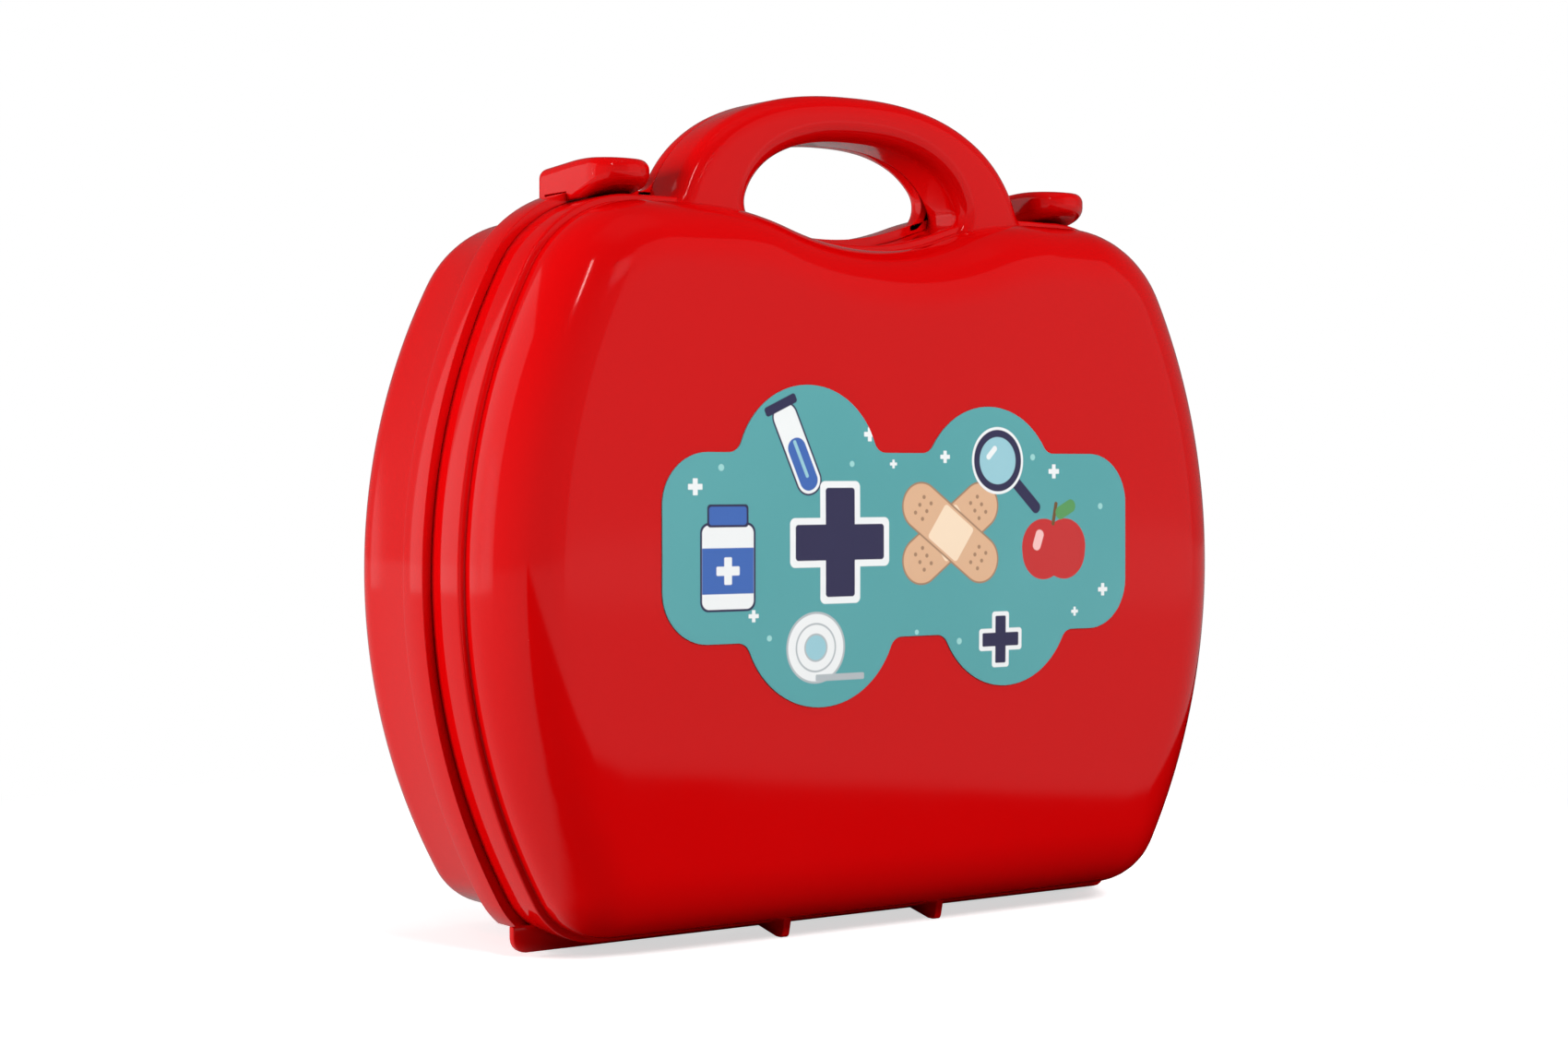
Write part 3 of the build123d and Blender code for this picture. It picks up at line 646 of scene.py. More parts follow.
def latch_pad(builder, case, latch, centre):
    """Flip latch: a rounded pad whose underside follows the case and ends in a barrel round the pin."""
    half = latch.half_width
    nose, back = half - latch.tip_reach, latch.back_reach - latch.back_corner
    points, outward = latch_plan(latch)
    outline = case_outline(case)[0]
    crest = outline[(outline[:, 1] > case.widest_height) & (outline[:, 0] * centre > 0)]
    crest = crest[np.argsort(np.abs(crest[:, 0]))]
    front_edge = -case.seam_forward

    def top(x, y):
        rise = latch.tip_rise * (latch.back_reach - y) / (latch.back_reach + latch.tip_reach)
        droop = latch.tip_droop * (np.clip(front_edge - y, 0, None) / (latch.tip_reach + front_edge)) ** 2
        return latch.top_height + rise - droop - latch.crown * (x / half) ** 2

    def under(x, y):
        crest_z = np.interp(np.abs(x + centre), np.abs(crest[:, 0]), crest[:, 1])
        share = np.clip((latch.root_reach + y) / (latch.root_reach - latch.tip_reach), 0, 1)
        wedge = top(x, y) - latch.tip_thickness
        low = crest_z - latch.band_step + latch.clearance
        z = np.where(y < front_edge, low * (1 - share) + wedge * share, crest_z + latch.clearance)
        turn = np.sqrt(np.clip(latch.cheek_radius**2 - (y - latch.axis_reach) ** 2, 0, None))
        return np.where(y > latch.axis_reach - latch.cheek_radius, latch.axis_height - turn, z)

    def ring(plan, height):
        x, y = plan[:, 0], plan[:, 1]
        return builder.ring(np.stack([x + centre, y, height(x, y)], axis=1))

    def drawn_in(plan, share):
        spine = np.stack([np.zeros(len(plan)), np.clip(plan[:, 1], nose, back)], axis=1)
        return spine + (plan - spine) * share

    quarter = np.linspace(0, math.pi / 2, QUARTER_STEPS + 1)
    shares = (0.0, 0.25, 0.5, 0.75)
    high_round = latch.edge_round
    lean = np.clip((front_edge - points[:, 1]) / latch.lean_length, 0, 1)
    low_round = latch.under_round * (1 - lean) + latch.tip_under_round * lean
    low_plan, high_plan = points - outward * low_round[:, None], points - outward * high_round
    rings = [ring(drawn_in(low_plan, share), under) for share in shares]
    for turn in quarter:
        lift = low_round * (1 - math.cos(turn))
        plan = points - outward * (low_round * (1 - math.sin(turn)))[:, None]
        rings.append(ring(plan, lambda x, y: under(x, y) + lift))
    for turn in quarter:
        drop = high_round * (1 - math.sin(turn))
        plan = points - outward * high_round * (1 - math.cos(turn))
        rings.append(ring(plan, lambda x, y: top(x, y) - drop))
    rings += [ring(drawn_in(high_plan, share), top) for share in reversed(shares)]
    for low, high in zip(rings, rings[1:]):
        builder.band(low, high)


def slotted(mesh, low, high):
    """Take a box from low to high out of a mesh."""
    corners = [(x, y, z) for x in (low[0], high[0]) for y in (low[1], high[1]) for z in (low[2], high[2])]
    faces = [(0, 1, 3, 2), (4, 6, 7, 5), (0, 4, 5, 1), (2, 3, 7, 6), (0, 2, 6, 4), (1, 5, 7, 3)]
    box_mesh = bpy.data.meshes.new("cutter")
    box_mesh.from_pydata(corners, [], faces)
    box = bpy.data.objects.new("cutter", box_mesh)
    blank = bpy.data.objects.new("blank", mesh)
    for piece in (box, blank):
        bpy.context.scene.collection.objects.link(piece)
    slot = blank.modifiers.new("slot", "BOOLEAN")
    slot.object = box
    slot.operation = "DIFFERENCE"
    slot.solver = "EXACT"
    bpy.context.view_layer.update()
    depsgraph = bpy.context.evaluated_depsgraph_get()
    result = bpy.data.meshes.new_from_object(blank.evaluated_get(depsgraph))
    for piece in (box, blank):
        bpy.data.objects.remove(piece)
    return result


def welded(mesh):
    """Close the seams of a mesh that is to be cut."""
    work = bmesh.new()
    work.from_mesh(mesh)
    bmesh.ops.remove_doubles(work, verts=work.verts, dist=1e-6)
    work.to_mesh(mesh)
    work.free()
    return mesh


# ---------------------------------------------------------------- moulded-on parts


def block(builder, low, high, x, half_width, edge):
    """Box between two corners given as (Y, Z), with its middle at x."""
    corners = [low, (high[0], low[1]), high, (low[0], high[1])]
    outline, outward = softened(corners, [0.0] * 4)
    bar(builder, outline, outward, x - half_width, x + half_width, edge, across)


def barrel(builder, axis, radius, x, half_width, edge):
    """Round barrel about an axis given as (Y, Z), with its middle at x."""
    outline, outward = arc(axis, radius, 0.0, 2 * math.pi, FINE_STEP)
    bar(builder, outline[:-1], outward[:-1], x - half_width, x + half_width, edge, across)


def foot_rail(builder, case, rail):
    """Rail along the bottom of the front half: a plate, its root and a sole that runs under the flange."""
    root_length = rail.half_length - rail.end_length
    bars = (
        (rail.half_length, rail.top, rail.plate_back, rail.front),
        (root_length, rail.top, rail.root_back, rail.plate_back + 2 * OVERLAP),
        (root_length, rail.sole_top, rail.sole_back, rail.root_back + OVERLAP),
    )
    bottom = case.bottom_height
    for reach, top, back, front in bars:
        corners = [(-reach, bottom), (reach, bottom), (reach, top), (-reach, top)]
        outline, outward = softened(corners, [rail.corner, rail.corner, 0.0, 0.0])
        bar(builder, outline, outward, back, front, rail.edge, along)


def front_feet(builder, feet):
    corners = [(-feet.root, feet.top), (-feet.root, feet.heel_height), (-feet.heel, 0.0), (-feet.toe, 0.0)]
    outline, outward = softened(corners + [(-feet.tip, feet.top)], [0.0, 0.0, feet.corner, feet.corner, 0.0])
    for x in (-feet.front_reach, feet.front_reach):
        bar(builder, outline, outward, x - feet.half_thickness, x + feet.half_thickness, feet.edge, across)


def rear_feet(builder, feet):
    low, high = (feet.rear_near, 0.0), (feet.rear_far, feet.rear_top)
    for x in (-feet.rear_reach, feet.rear_reach):
        block(builder, low, high, x, feet.half_thickness, feet.edge)


def front_barrels(builder, hinge):
    """The middle barrel of each hinge, on the front half."""
    axis_z, half = hinge.axis_height, hinge.front_half_width
    low = (-hinge.front_web_far, axis_z - hinge.front_web_half)
    high = (-hinge.front_web_near, axis_z + hinge.front_web_half)
    for x in (-hinge.reach, hinge.reach):
        barrel(builder, (0.0, axis_z), hinge.radius, x, half, hinge.edge)
        block(builder, low, high, x, half, hinge.edge)


def rear_barrels(builder, hinge):
    """The two outer barrels of each hinge, on the rear half."""
    axis_z, half = hinge.axis_height, hinge.rear_half_width
    low, high = (hinge.rear_web_near, axis_z), (hinge.rear_web_far, hinge.rear_web_top)
    for middle in (-hinge.reach, hinge.reach):
        for x in (middle - hinge.rear_shift, middle + hinge.rear_shift):
            barrel(builder, (0.0, axis_z), hinge.radius, x, half, hinge.edge)
            block(builder, low, high, x, half, hinge.edge)


def latch_barrels(builder, hinge, latch):
    """Barrel and web for the pin of each latch, on the rear half."""
    axis_y, axis_z, radius = latch.axis_reach, latch.axis_height, hinge.latch_radius
    low, high = (axis_y - radius, axis_z - hinge.latch_web_height), (axis_y + radius, axis_z)
    for x in (-latch.middle_reach, latch.middle_reach):
        barrel(builder, (axis_y, axis_z), radius, x, hinge.latch_half_width, hinge.edge)
        block(builder, low, high, x, hinge.latch_half_width, hinge.edge)


def locating_lip(builder, case, handle, lip):
    """Lip inside the rear rim that centres the front half; it stops short of the hinges and the handle."""
    points, outward = case_outline(case)
    beside, height = np.abs(points[:, 0]), points[:, 1]
    kept = (height > lip.start_height) & (beside > handle.half_width + lip.room)
    kept |= (height > lip.grip_height) & (beside < handle.grip_half_width - lip.room)
    order = np.arange(len(points))[kept]
    back, front = case.seam_forward - lip.behind, case.seam_forward + lip.ahead
    for run in np.split(order, np.flatnonzero(np.diff(order) > 1) + 1):
        outer, inner = (points[run] - outward[run] * inset for inset in (lip.outer, lip.inner))
        loop = np.concatenate([outer, inner[::-1]])
        out = np.concatenate([outward[run], -outward[run][::-1]])
        bar(builder, loop, out, back, front, lip.edge, along)


def finished(name, mesh, cad_node, body, material):
    """Put a finished mesh in the place of the CAD node that it dresses."""
    piece = bpy.data.objects.new(name, mesh)
    bpy.context.scene.collection.objects.link(piece)
    mesh.materials.append(material)
    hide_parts(cad_node)
    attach(piece, body)


# ---------------------------------------------------------------- finishes


def feed(tree, socket, value):
    """Set a socket to a value, or link another socket to it."""
    if isinstance(value, bpy.types.NodeSocket):
        tree.links.new(value, socket)
    else:
        socket.default_value = value


def feed_all(tree, made, inputs):
    for key, value in inputs.items():
        feed(tree, made.inputs[key], value)


def node(tree, kind, inputs=None, **settings):
    """New node with its settings, and with its inputs set or linked."""
    made = tree.nodes.new(kind)
    for key, value in settings.items():
        setattr(made, key, value)
    feed_all(tree, made, inputs or {})
    return made


def maths(tree, operation, *values):
    return node(tree, "ShaderNodeMath", dict(enumerate(values)), operation=operation).outputs[0]


def noise(tree, vector, scale, detail=2.0):
    inputs = {"Vector": vector, "Scale": scale, "Detail": detail}
    return node(tree, "ShaderNodeTexNoise", inputs).outputs["Fac"]


def stretched(tree, vector, scale, rotation=(0.0, 0.0, 0.0)):
    inputs = {"Vector": vector, "Scale": scale, "Rotation": rotation}
    return node(tree, "ShaderNodeMapping", inputs).outputs["Vector"]


def remapped(tree, value, low, high, to_low=0.0, to_high=1.0, kind="LINEAR"):
    inputs = {"Value": value, "From Min": low, "From Max": high, "To Min": to_low, "To Max": to_high}
    return node(tree, "ShaderNodeMapRange", inputs, interpolation_type=kind).outputs["Result"]


def blend(tree, factor, first, second):
    inputs = {"Factor": factor, "A": first, "B": second}
    return node(tree, "ShaderNodeMix", inputs, data_type="RGBA").outputs["Result"]


def blend_shaders(tree, factor, first, second):
    return node(tree, "ShaderNodeMixShader", {0: factor, 1: first, 2: second}).outputs[0]


def bump(tree, height, strength, distance):
    inputs = {"Height": height, "Strength": strength, "Distance": distance}
    return node(tree, "ShaderNodeBump", inputs).outputs["Normal"]


def shade(rgb, *shares):
    """Opaque colour whose channels are scaled by the given shares."""
    return (*(channel * share for channel, share in zip(rgb, shares or (1.0, 1.0, 1.0))), 1.0)


def even_grey(level):
    return (level, level, level, 1.0)


def new_group(name, inputs, outputs):
    """Node group with number inputs; an input without a default is a vector."""
    group = bpy.data.node_groups.new(name, "ShaderNodeTree")
    for label, default in inputs.items():
        kind = "NodeSocketVector" if default is None else "NodeSocketFloat"
        socket = group.interface.new_socket(name=label, in_out="INPUT", socket_type=kind)
        if default is not None:
            socket.default_value = default
    for label in outputs:
        group.interface.new_socket(name=label, in_out="OUTPUT", socket_type="NodeSocketFloat")
    return group, node(group, "NodeGroupInput").outputs, node(group, "NodeGroupOutput")


def new_material(name):
    """New material with its node tree, its shader and the Object coordinates."""
    material = bpy.data.materials.new(name)
    material.use_nodes = True
    tree = material.node_tree
    place = node(tree, "ShaderNodeTexCoord").outputs["Object"]
    return material, tree, tree.nodes["Principled BSDF"], place


def moulded_surface_group():
    """Height and roughness of injection-moulded gloss plastic: faint waves, fine scuffs and dust specks."""
    group, given, result = new_group(
        "Moulded Surface",
        {"Vector": None, "Roughness": 0.16, "Wave": 1.0, "Scuffs": 1.0},
        ("Height", "Roughness", "Specks"),
    )
    place = given["Vector"]
    swell = maths(group, "MULTIPLY", noise(group, place, scale=14.0, detail=1.0), given["Wave"])
    grain = noise(group, place, scale=1400.0)
    height = maths(group, "MULTIPLY_ADD", grain, 0.004, swell)

    strokes = stretched(group, place, scale=(900.0, 900.0, 22.0), rotation=(0.3, 0.9, 0.5))
    lines = remapped(group, noise(group, strokes, scale=1.0), low=0.7, high=0.8)
    scuffs = maths(group, "MULTIPLY", lines, given["Scuffs"])
    cloud = noise(group, place, scale=38.0, detail=3.0)
    rough = maths(group, "MULTIPLY_ADD", cloud, 0.03, given["Roughness"])
    rough = maths(group, "MULTIPLY_ADD", scuffs, 0.06, rough)

    cells = node(group, "ShaderNodeTexVoronoi", {"Vector": place, "Scale": 95.0}).outputs
    chance = node(group, "ShaderNodeSeparateColor", {"Color": cells["Color"]}).outputs
    rare = maths(group, "GREATER_THAN", chance["Red"], 0.93)
    size = maths(group, "MULTIPLY", chance["Green"], 0.034)
    near = maths(group, "LESS_THAN", cells["Distance"], size)
    specks = maths(group, "MULTIPLY", maths(group, "MULTIPLY", rare, near), given["Scuffs"])

    feed_all(group, result, {"Height": height, "Roughness": rough, "Specks": specks})
    return group


def print_shape_group():
    """Mask of a rounded, turned box in the plane of the label; a disc is a fully rounded one."""
    group, given, result = new_group(
        "Print Shape",
        {
            "X": 0.0, "Z": 0.0, "Centre X": 0.0, "Centre Z": 0.0,
            "Half Width": 5.0, "Half Height": 5.0, "Corner": 1.0, "Turn": 0.0,
        },
        ("Mask", "Distance"),
    )

    def both(operation, first, second):
        return maths(group, operation, first, second)

    def past(value, half):
        """How far a place is past the straight part of a side, along one direction."""
        return both("ADD", both("SUBTRACT", maths(group, "ABSOLUTE", value), given[half]), given["Corner"])

    dx = both("SUBTRACT", given["X"], given["Centre X"])
    dz = both("SUBTRACT", given["Z"], given["Centre Z"])
    cosine = maths(group, "COSINE", given["Turn"])
    sine = maths(group, "SINE", given["Turn"])
    along_width = both("ADD", both("MULTIPLY", dx, cosine), both("MULTIPLY", dz, sine))
    along_height = both("SUBTRACT", both("MULTIPLY", dz, cosine), both("MULTIPLY", dx, sine))
    past_width, past_height = past(along_width, "Half Width"), past(along_height, "Half Height")
    edges = [both("MAXIMUM", value, 0.0) for value in (past_width, past_height)]
    outside = maths(group, "SQRT", both("ADD", *(both("MULTIPLY", edge, edge) for edge in edges)))
    inside = both("MINIMUM", both("MAXIMUM", past_width, past_height), 0.0)
    distance = both("SUBTRACT", both("ADD", outside, inside), given["Corner"])
    mask = remapped(group, distance, low=0.12, high=-0.12)
    feed_all(group, result, {"Mask": mask, "Distance": distance})
    return group


def gloss_red(name, settings, surface_group, wave):
    material, tree, shader, place = new_material(name)
    surface = node(tree, "ShaderNodeGroup", node_tree=surface_group)
    feed_all(tree, surface, {"Vector": place, "Roughness": settings.gloss_roughness, "Wave": wave})
    red = settings.case_red
    drift = noise(tree, place, scale=9.0)
    plastic = blend(tree, drift, shade(red, 0.96, 0.7, 0.7), shade(red, 1.04, 1.6, 1.6))
    normal = bump(tree, surface.outputs["Height"], strength=0.25, distance=0.6 * MM)
    feed_all(tree, shader, {
        "Base Color": blend(tree, surface.outputs["Specks"], plastic, shade(settings.dust)),
        "Roughness": surface.outputs["Roughness"],
        "Normal": normal,
        "IOR": 1.5,
    })
    return material


def wire_steel(name, settings):
    material, tree, shader, place = new_material(name)
    drawn = noise(tree, stretched(tree, place, scale=(60.0, 5200.0, 5200.0)), scale=1.0)
    grey = settings.pin_grey
    feed_all(tree, shader, {
        "Base Color": blend(tree, drawn, shade(grey, 0.8, 0.8, 0.8), shade(grey)),
        "Metallic": 1.0,
        "Roughness": maths(tree, "MULTIPLY_ADD", drawn, 0.2, 0.25),
    })
    return material


# ---------------------------------------------------------------- print of the label

# A printed shape is (x, z, half width, half height, corner, turn, ink), in millimetres about the middle.

WHITE = (0.8, 0.82, 0.82)
GREY = (0.42, 0.46, 0.48)
RED = (0.52, 0.03, 0.03)
ROSE = (0.85, 0.5, 0.48)
BLUE = (0.05, 0.13, 0.42)
SAND = (0.68, 0.42, 0.26)
PALE = (0.86, 0.68, 0.5)
BROWN = (0.35, 0.2, 0.12)
BARK = (0.16, 0.08, 0.03)
LEAF = (0.10, 0.30, 0.10)
SKY = (0.30, 0.55, 0.62)
MIST = (0.32, 0.62, 0.6)
INK = (0.03, 0.027, 0.075)

# x, z and half size of the small plus signs and of the dots.
PLUS_SPOTS = (
    (-70, 16, 2.2), (-14, 30, 1.9), (8, -30, 2.3), (52, 20, 2.0), (-6, 22, 1.2),
    (71, -14, 1.8), (-52, -18, 1.6), (60, -20, 1.3), (12, 24, 1.7),
)
DOT_SPOTS = (
    (-62, 21, 0.9), (-20, 22, 0.8), (44, 24, 0.9), (17, -27, 0.9),
    (70, 10, 0.9), (-47, -24, 0.8), (2, -24, 0.7),
)
PLUS_THICKNESS = 0.34


def disc(x, z, radius, ink):
    return (x, z, radius, radius, radius, 0.0, ink)


def plus_sign(x, z, arm, thick, ink, corner=0.4):
    return [
        (x, z, arm, thick, corner, 0.0, ink),
        (x, z, thick, arm, corner, 0.0, ink),
    ]


def plaster(x, z, turn, half_length=19.0, half_width=6.2):
    shapes = [
        (x, z, half_length + 0.5, half_width + 0.5, half_width + 0.5, turn, BROWN),
        (x, z, half_length, half_width, half_width, turn, SAND),
        (x, z, half_width, half_width - 0.6, 1.0, turn, PALE),
    ]
    for ahead in (-13.5, -10.5, 10.5, 13.5):
        for beside in (-2.6, 0.0, 2.6):
            hole_x = x + ahead * math.cos(turn) - beside * math.sin(turn)
            hole_z = z + ahead * math.sin(turn) + beside * math.cos(turn)
            shapes.append(disc(hole_x, hole_z, 0.55, BROWN))
    return shapes


def bottle(x, z):
    return [
        (x, z, 8.6, 11.6, 2.6, 0.0, INK),
        (x, z, 8.0, 11.0, 2.2, 0.0, WHITE),
        (x, z - 1.0, 8.0, 6.0, 0.2, 0.0, BLUE),
        (x, z + 13.4, 6.4, 3.0, 1.0, 0.0, INK),
        (x, z + 13.4, 5.8, 2.4, 0.8, 0.0, BLUE),
    ] + plus_sign(x, z - 1.0, 3.6, 1.2, WHITE)


def apple(x, z):
    return [
        (x - 4.0, z, 8.0, 8.6, 7.9, 0.12, RED),
        (x + 4.0, z, 8.0, 8.6, 7.9, -0.12, RED),
        (x - 6.0, z + 2.6, 1.5, 3.0, 1.4, -0.35, ROSE),
        (x + 0.2, z + 10.0, 0.6, 3.4, 0.5, -0.2, BARK),
        (x + 4.4, z + 11.2, 4.0, 1.9, 1.85, 0.45, LEAF),
    ]


def tube(x, z, turn):
    def at(up):
        return x - up * math.sin(turn), z + up * math.cos(turn)

    return [
        (x, z, 4.2, 13.2, 4.1, turn, INK),
        (x, z, 3.7, 12.7, 3.6, turn, WHITE),
        (*at(-4.5), 2.9, 7.4, 2.8, turn, BLUE),
        (*at(-3.0), 0.5, 5.4, 0.5, turn, SKY),
        (*at(12.6), 5.4, 1.3, 0.8, turn, INK),
    ]


def roll(x, z):
    rings = ((9.6, GREY), (9.0, WHITE), (6.6, GREY), (6.1, WHITE), (3.8, GREY), (3.3, SKY))
    tail = (x + 8.0, z - 8.1, 8.0, 0.9, 0.4, 0.0, GREY)
    return [disc(x, z, radius, ink) for radius, ink in rings] + [tail]


def lens(x, z, turn, grip_reach=14.5):
    grip = (x + grip_reach * math.cos(turn), z + grip_reach * math.sin(turn), 6.4, 1.7, 1.6, turn, INK)
    rings = ((9.4, WHITE), (8.6, INK), (6.6, SKY))
    glint = (x - 2.2, z + 2.2, 2.4, 0.8, 0.8, 0.78, WHITE)
    return [grip] + [disc(x, z, radius, ink) for radius, ink in rings] + [glint]


def label_print():
    """Printed shapes from back to front."""
    shapes = []
    for x, z, size in PLUS_SPOTS:
        shapes += plus_sign(x, z, size, size * PLUS_THICKNESS, WHITE, corner=0.2)
    shapes += [disc(x, z, size, MIST) for x, z, size in DOT_SPOTS]
    shapes += bottle(-60, -5)
    shapes += tube(-38, 26, 0.42)
    shapes += roll(-32, -27)
    shapes += plus_sign(-24, 1, 16.4, 6.6, WHITE, corner=1.6)
    shapes += plus_sign(-24, 1, 14.6, 4.8, INK, corner=0.9)
    shapes += plaster(14, 3, 0.62)
    shapes += plaster(14, 3, -0.62)
    shapes += lens(31, 23, -0.75)
    shapes += apple(52, -2)
    shapes += plus_sign(32, -27, 7.8, 3.1, WHITE, corner=0.9)
    shapes += plus_sign(32, -27, 6.6, 1.9, INK)
    return shapes


def label_film(name, settings, shape_group):
    material, tree, shader, place = new_material(name)
    split = node(tree, "ShaderNodeSeparateXYZ", {"Vector": place}).outputs
    x = maths(tree, "MULTIPLY", split["X"], 1 / MM)
    z = maths(tree, "MULTIPLY_ADD", split["Z"], 1 / MM, -settings.label_height / MM)
    teal = settings.label_teal
    drift = noise(tree, place, scale=11.0)
    ink = blend(tree, drift, shade(teal, 0.8, 0.9, 0.9), shade(teal, 1.25, 1.1, 1.1))
    for centre_x, centre_z, half_width, half_height, corner, turn, paint_rgb in label_print():
        shape = node(tree, "ShaderNodeGroup", node_tree=shape_group)
        feed_all(tree, shape, {
            "X": x, "Z": z, "Centre X": centre_x, "Centre Z": centre_z,
            "Half Width": half_width, "Half Height": half_height, "Corner": corner, "Turn": turn,
        })
        ink = blend(tree, shape.outputs["Mask"], ink, shade(paint_rgb))
    film = noise(tree, place, scale=60.0)
    feed_all(tree, shader, {
        "Base Color": ink,
        "Roughness": maths(tree, "MULTIPLY_ADD", film, 0.08, 0.26),
        "Normal": bump(tree, film, strength=0.2, distance=0.3 * MM),
    })
    return material


# ---------------------------------------------------------------- operators


def paint(piece, material):
    piece.data.materials.clear()
    piece.data.materials.append(material)


class FinishOperator(bpy.types.Operator):
    """Make the materials"""

    bl_idname = "toy_case.finishes"
    bl_label = "Finishes"

    def execute(self, context):
        settings = context.scene.toy_case_finish
        surface = moulded_surface_group()
        gloss_red("gloss_red", settings, surface, settings.case_wave)
        gloss_red("latch_gloss", settings, surface, settings.latch_wave)
        wire_steel("drawn_wire", settings)
        label_film("printed_film", settings, print_shape_group())
        return {"FINISHED"}


class FrontShellOperator(bpy.types.Operator):
    """Build the front half of the case with its rail, feet, hinge barrels and handle half"""

    bl_idname = "toy_case.front_shell"
    bl_label = "Front shell"

    def execute(self, context):
        scene = context.scene
        case, half, handle = scene.toy_case, scene.toy_case_front, scene.toy_case_handle
        builder = Builder()
        half_shell(builder, case, half, FRONT)
        handle_half(builder, case, handle, half, FRONT)
        foot_rail(builder, case, scene.toy_case_rail)
        front_feet(builder, scene.toy_case_feet)
        front_barrels(builder, scene.toy_case_hinge)
        gloss = bpy.data.materials["gloss_red"]
        finished("front_half", builder.mesh("front_half"), "front_shell", "front_case", gloss)
        return {"FINISHED"}


class RearShellOperator(bpy.types.Operator):
    """Build the rear half of the case with its lip, feet, hinge and latch barrels and handle half"""

    bl_idname = "toy_case.rear_shell"
    bl_label = "Rear shell"

    def execute(self, context):
        scene = context.scene
        case, half, handle = scene.toy_case, scene.toy_case_rear, scene.toy_case_handle
        builder = Builder()
        half_shell(builder, case, half, REAR)
        handle_half(builder, case, handle, half, REAR)
        rear_feet(builder, scene.toy_case_feet)
        rear_barrels(builder, scene.toy_case_hinge)
        latch_barrels(builder, scene.toy_case_hinge, scene.toy_case_latch)
        locating_lip(builder, case, handle, scene.toy_case_lip)
        gloss = bpy.data.materials["gloss_red"]
        finished("rear_half", builder.mesh("rear_half"), "rear_shell", "rear_case", gloss)
        return {"FINISHED"}


class LatchOperator(bpy.types.Operator):
    """Build the two flip latches and give the pins their finish"""

    bl_idname = "toy_case.latches"
    bl_label = "Latches and pins"

    def execute(self, context):
        case, latch = context.scene.toy_case, context.scene.toy_case_latch
        room = latch.cheek_radius
        gloss = bpy.data.materials["latch_gloss"]
        for side, centre in (("left", -latch.middle_reach), ("right", latch.middle_reach)):
            builder = Builder()
            latch_pad(builder, case, latch, centre)
            low = (centre - latch.slot_half_width, latch.axis_reach - room, latch.axis_height - 2 * room)
            high = (centre + latch.slot_half_width, latch.back_reach + room, latch.axis_height + room)
            mesh = slotted(welded(builder.mesh("latch_" + side)), low, high)
            cad_node = "latch_" + side
            finished("flip_latch_" + side, mesh, cad_node, cad_node + "_body", gloss)
        for name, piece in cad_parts.items():
            if "pin" in name:
                paint(piece, bpy.data.materials["drawn_wire"])
        return {"FINISHED"}


class LabelOperator(bpy.types.Operator):
    """Print the die-cut label"""

    bl_idname = "toy_case.label"
    bl_label = "Label"

    def execute(self, context):
        paint(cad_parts["front_label"], bpy.data.materials["printed_film"])
        return {"FINISHED"}


# ---------------------------------------------------------------- stage

FLOOR_REACH = 6.0
CASE_MIDDLE = (0.0, 0.0, 0.11)
# Name, place, aim, width, height, power, and whether shiny parts reflect it.
LAMPS = (
    ("front_right_box", (1.0, -1.38, 0.95), (-0.09, -0.08, 0.95), 1.7, 1.9, 1.6, True),
    ("left_box", (-1.2, 0.85, 0.6), (0.0, 0.0, 0.6), 1.4, 1.2, 2.4, True),
    ("key_box", (0.0, -1.45, 1.0), CASE_MIDDLE, 0.4, 0.4, 23.5, False),
    ("left_key_box", (-1.5, 0.7, 0.25), CASE_MIDDLE, 0.6, 0.6, 33.0, False),
    ("top_box", (0.1, -0.2, 1.6), CASE_MIDDLE, 1.0, 0.8, 7.0, False),
    ("streak_strip", (-0.95, -0.95, 1.35), CASE_MIDDLE, 0.05, 0.5, 1.0, True),
)


def area_lamp(name, place, aim, width, height, power, reflected):
    lamp = bpy.data.lights.new(name, "AREA")
    lamp.shape = "RECTANGLE"
    lamp.size = width
    lamp.size_y = height
    lamp.energy = power
    holder = bpy.data.objects.new(name, lamp)
    bpy.context.scene.collection.objects.link(holder)
    holder.location = place
    holder.rotation_euler = (Vector(aim) - Vector(place)).to_track_quat("-Z", "Y").to_euler()
    holder.visible_glossy = reflected


def studio_world(scene, stage):
    """White to the camera, dim to the rest; shiny parts reflect a room that darkens upwards."""
    world = bpy.data.worlds.new("studio")
    scene.world = world
    world.use_nodes = True
    tree = world.node_tree
    tree.nodes.clear()
    path = node(tree, "ShaderNodeLightPath").outputs
    sky = node(tree, "ShaderNodeTexCoord").outputs["Generated"]
    upward = node(tree, "ShaderNodeSeparateXYZ", {"Vector": sky}).outputs["Z"]
    room = remapped(tree, upward, 0.0, 0.75, stage.low_reflection, stage.high_reflection, "SMOOTHSTEP")
    light = remapped(tree, path["Is Glossy Ray"], 0.0, 1.0, stage.room_light, room)
    fill = node(tree, "ShaderNodeBackground", {"Color": even_grey(1.0), "Strength": light}).outputs[0]
    seen = node(tree, "ShaderNodeBackground", {"Color": even_grey(1.0), "Strength": 1.0}).outputs[0]
    surface = blend_shaders(tree, path["Is Camera Ray"], fill, seen)
    node(tree, "ShaderNodeOutputWorld", {"Surface": surface})


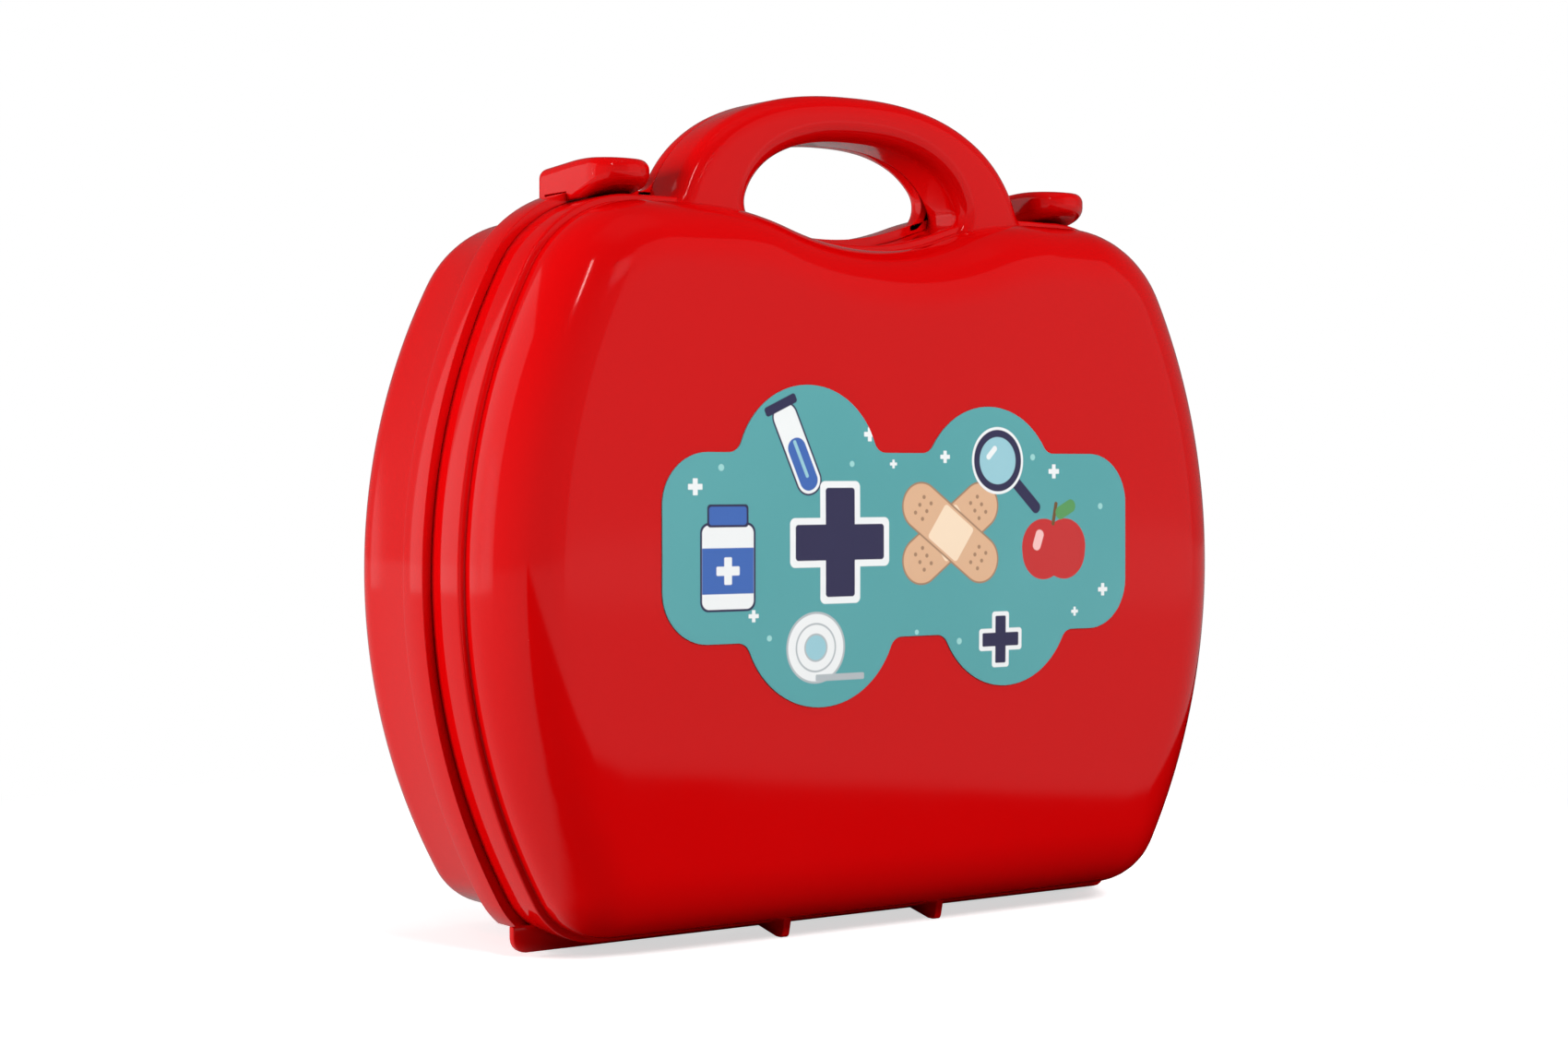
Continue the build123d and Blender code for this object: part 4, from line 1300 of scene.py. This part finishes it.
def studio_paper(stage):
    """White paper: it takes the shadow close to the case, and the gloss reflects a dark stretch of it."""
    paper, tree, shader, place = new_material("studio_paper")
    feed_all(tree, shader, {
        "Base Color": even_grey(stage.paper_grey),
        "Roughness": 0.9,
        "Specular IOR Level": 0.0,
    })
    glow = node(tree, "ShaderNodeEmission", {"Strength": stage.paper_glow}).outputs[0]
    shadowed = node(tree, "ShaderNodeAddShader", {0: shader.outputs[0], 1: glow}).outputs[0]
    plain = node(tree, "ShaderNodeEmission").outputs[0]
    away = node(tree, "ShaderNodeVectorMath", {0: place}, operation="LENGTH").outputs["Value"]
    fade = remapped(tree, away, stage.shadow_near, stage.shadow_far, kind="SMOOTHSTEP")
    seen = blend_shaders(tree, fade, shadowed, plain)

    across_paper = node(tree, "ShaderNodeSeparateXYZ", {"Vector": place}).outputs
    ahead = maths(tree, "SUBTRACT", across_paper["X"], across_paper["Y"])
    ahead = maths(tree, "MULTIPLY_ADD", noise(tree, place, scale=30.0), stage.mirror_ripple, ahead)
    from_middle = maths(tree, "ABSOLUTE", maths(tree, "SUBTRACT", ahead, stage.mirror_middle))
    strength = remapped(
        tree, from_middle, stage.mirror_near, stage.mirror_far, to_high=stage.mirror_glow, kind="SMOOTHSTEP"
    )
    mirrored = node(tree, "ShaderNodeEmission", {"Strength": strength}).outputs[0]
    bounce = node(tree, "ShaderNodeBsdfDiffuse", {"Color": even_grey(stage.bounce_grey)}).outputs[0]
    path = node(tree, "ShaderNodeLightPath").outputs
    unseen = blend_shaders(tree, path["Is Glossy Ray"], bounce, mirrored)
    surface = blend_shaders(tree, path["Is Camera Ray"], unseen, seen)
    feed(tree, tree.nodes["Material Output"].inputs["Surface"], surface)
    return paper


def studio_floor(scene, stage):
    reach = FLOOR_REACH
    mesh = bpy.data.meshes.new("floor")
    corners = [(-reach, -reach, 0), (reach, -reach, 0), (reach, reach, 0), (-reach, reach, 0)]
    mesh.from_pydata(corners, [], [(0, 1, 2, 3)])
    floor = bpy.data.objects.new("floor", mesh)
    scene.collection.objects.link(floor)
    mesh.materials.append(studio_paper(stage))


def studio_camera(scene, stage):
    camera_data = bpy.data.cameras.new("camera")
    camera = bpy.data.objects.new("camera", camera_data)
    scene.collection.objects.link(camera)
    camera_data.sensor_width = 36.0
    camera_data.lens = stage.camera_lens
    camera_data.clip_end = 50.0
    turn = stage.camera_azimuth
    away = stage.camera_distance
    camera.location = (-math.sin(turn) * away, -math.cos(turn) * away, stage.camera_height)
    camera.rotation_euler = (math.pi / 2 + stage.camera_tilt, 0.0, -(turn + stage.camera_swing))
    scene.camera = camera


class StageOperator(bpy.types.Operator):
    """Set up the world, the floor, the lamps and the camera"""

    bl_idname = "toy_case.stage"
    bl_label = "Stage"

    def execute(self, context):
        scene = context.scene
        stage = scene.toy_case_stage
        scene.view_settings.view_transform = "Standard"
        studio_world(scene, stage)
        studio_floor(scene, stage)
        for lamp in LAMPS:
            area_lamp(*lamp)
        studio_camera(scene, stage)
        return {"FINISHED"}


class ToyCasePanel(bpy.types.Panel):
    """Steps that dress the toy case"""

    bl_idname = "VIEW3D_PT_toy_case"
    bl_label = "Toy Case"
    bl_space_type = "VIEW_3D"
    bl_region_type = "UI"
    bl_category = "Toy Case"

    def draw(self, context):
        for step in STEPS:
            self.layout.operator(step.bl_idname)


SETTINGS = {
    "toy_case": CaseSizes,
    "toy_case_front": FrontHalfSizes,
    "toy_case_rear": RearHalfSizes,
    "toy_case_handle": HandleSizes,
    "toy_case_rail": RailSizes,
    "toy_case_feet": FootSizes,
    "toy_case_hinge": HingeSizes,
    "toy_case_lip": LipSizes,
    "toy_case_latch": LatchSizes,
    "toy_case_finish": FinishSettings,
    "toy_case_stage": StageSettings,
}
STEPS = (FinishOperator, FrontShellOperator, RearShellOperator, LatchOperator, LabelOperator, StageOperator)
CLASSES = (*SETTINGS.values(), *STEPS, ToyCasePanel)


def register():
    for each in CLASSES:
        bpy.utils.register_class(each)
    for name, group in SETTINGS.items():
        setattr(bpy.types.Scene, name, bpy.props.PointerProperty(type=group))


def unregister():
    for name in SETTINGS:
        delattr(bpy.types.Scene, name)
    for each in reversed(CLASSES):
        bpy.utils.unregister_class(each)


def main():
    register()
    for step in STEPS:
        group, name = step.bl_idname.split(".")
        getattr(getattr(bpy.ops, group), name)()


if __name__ == "__main__":
    main()
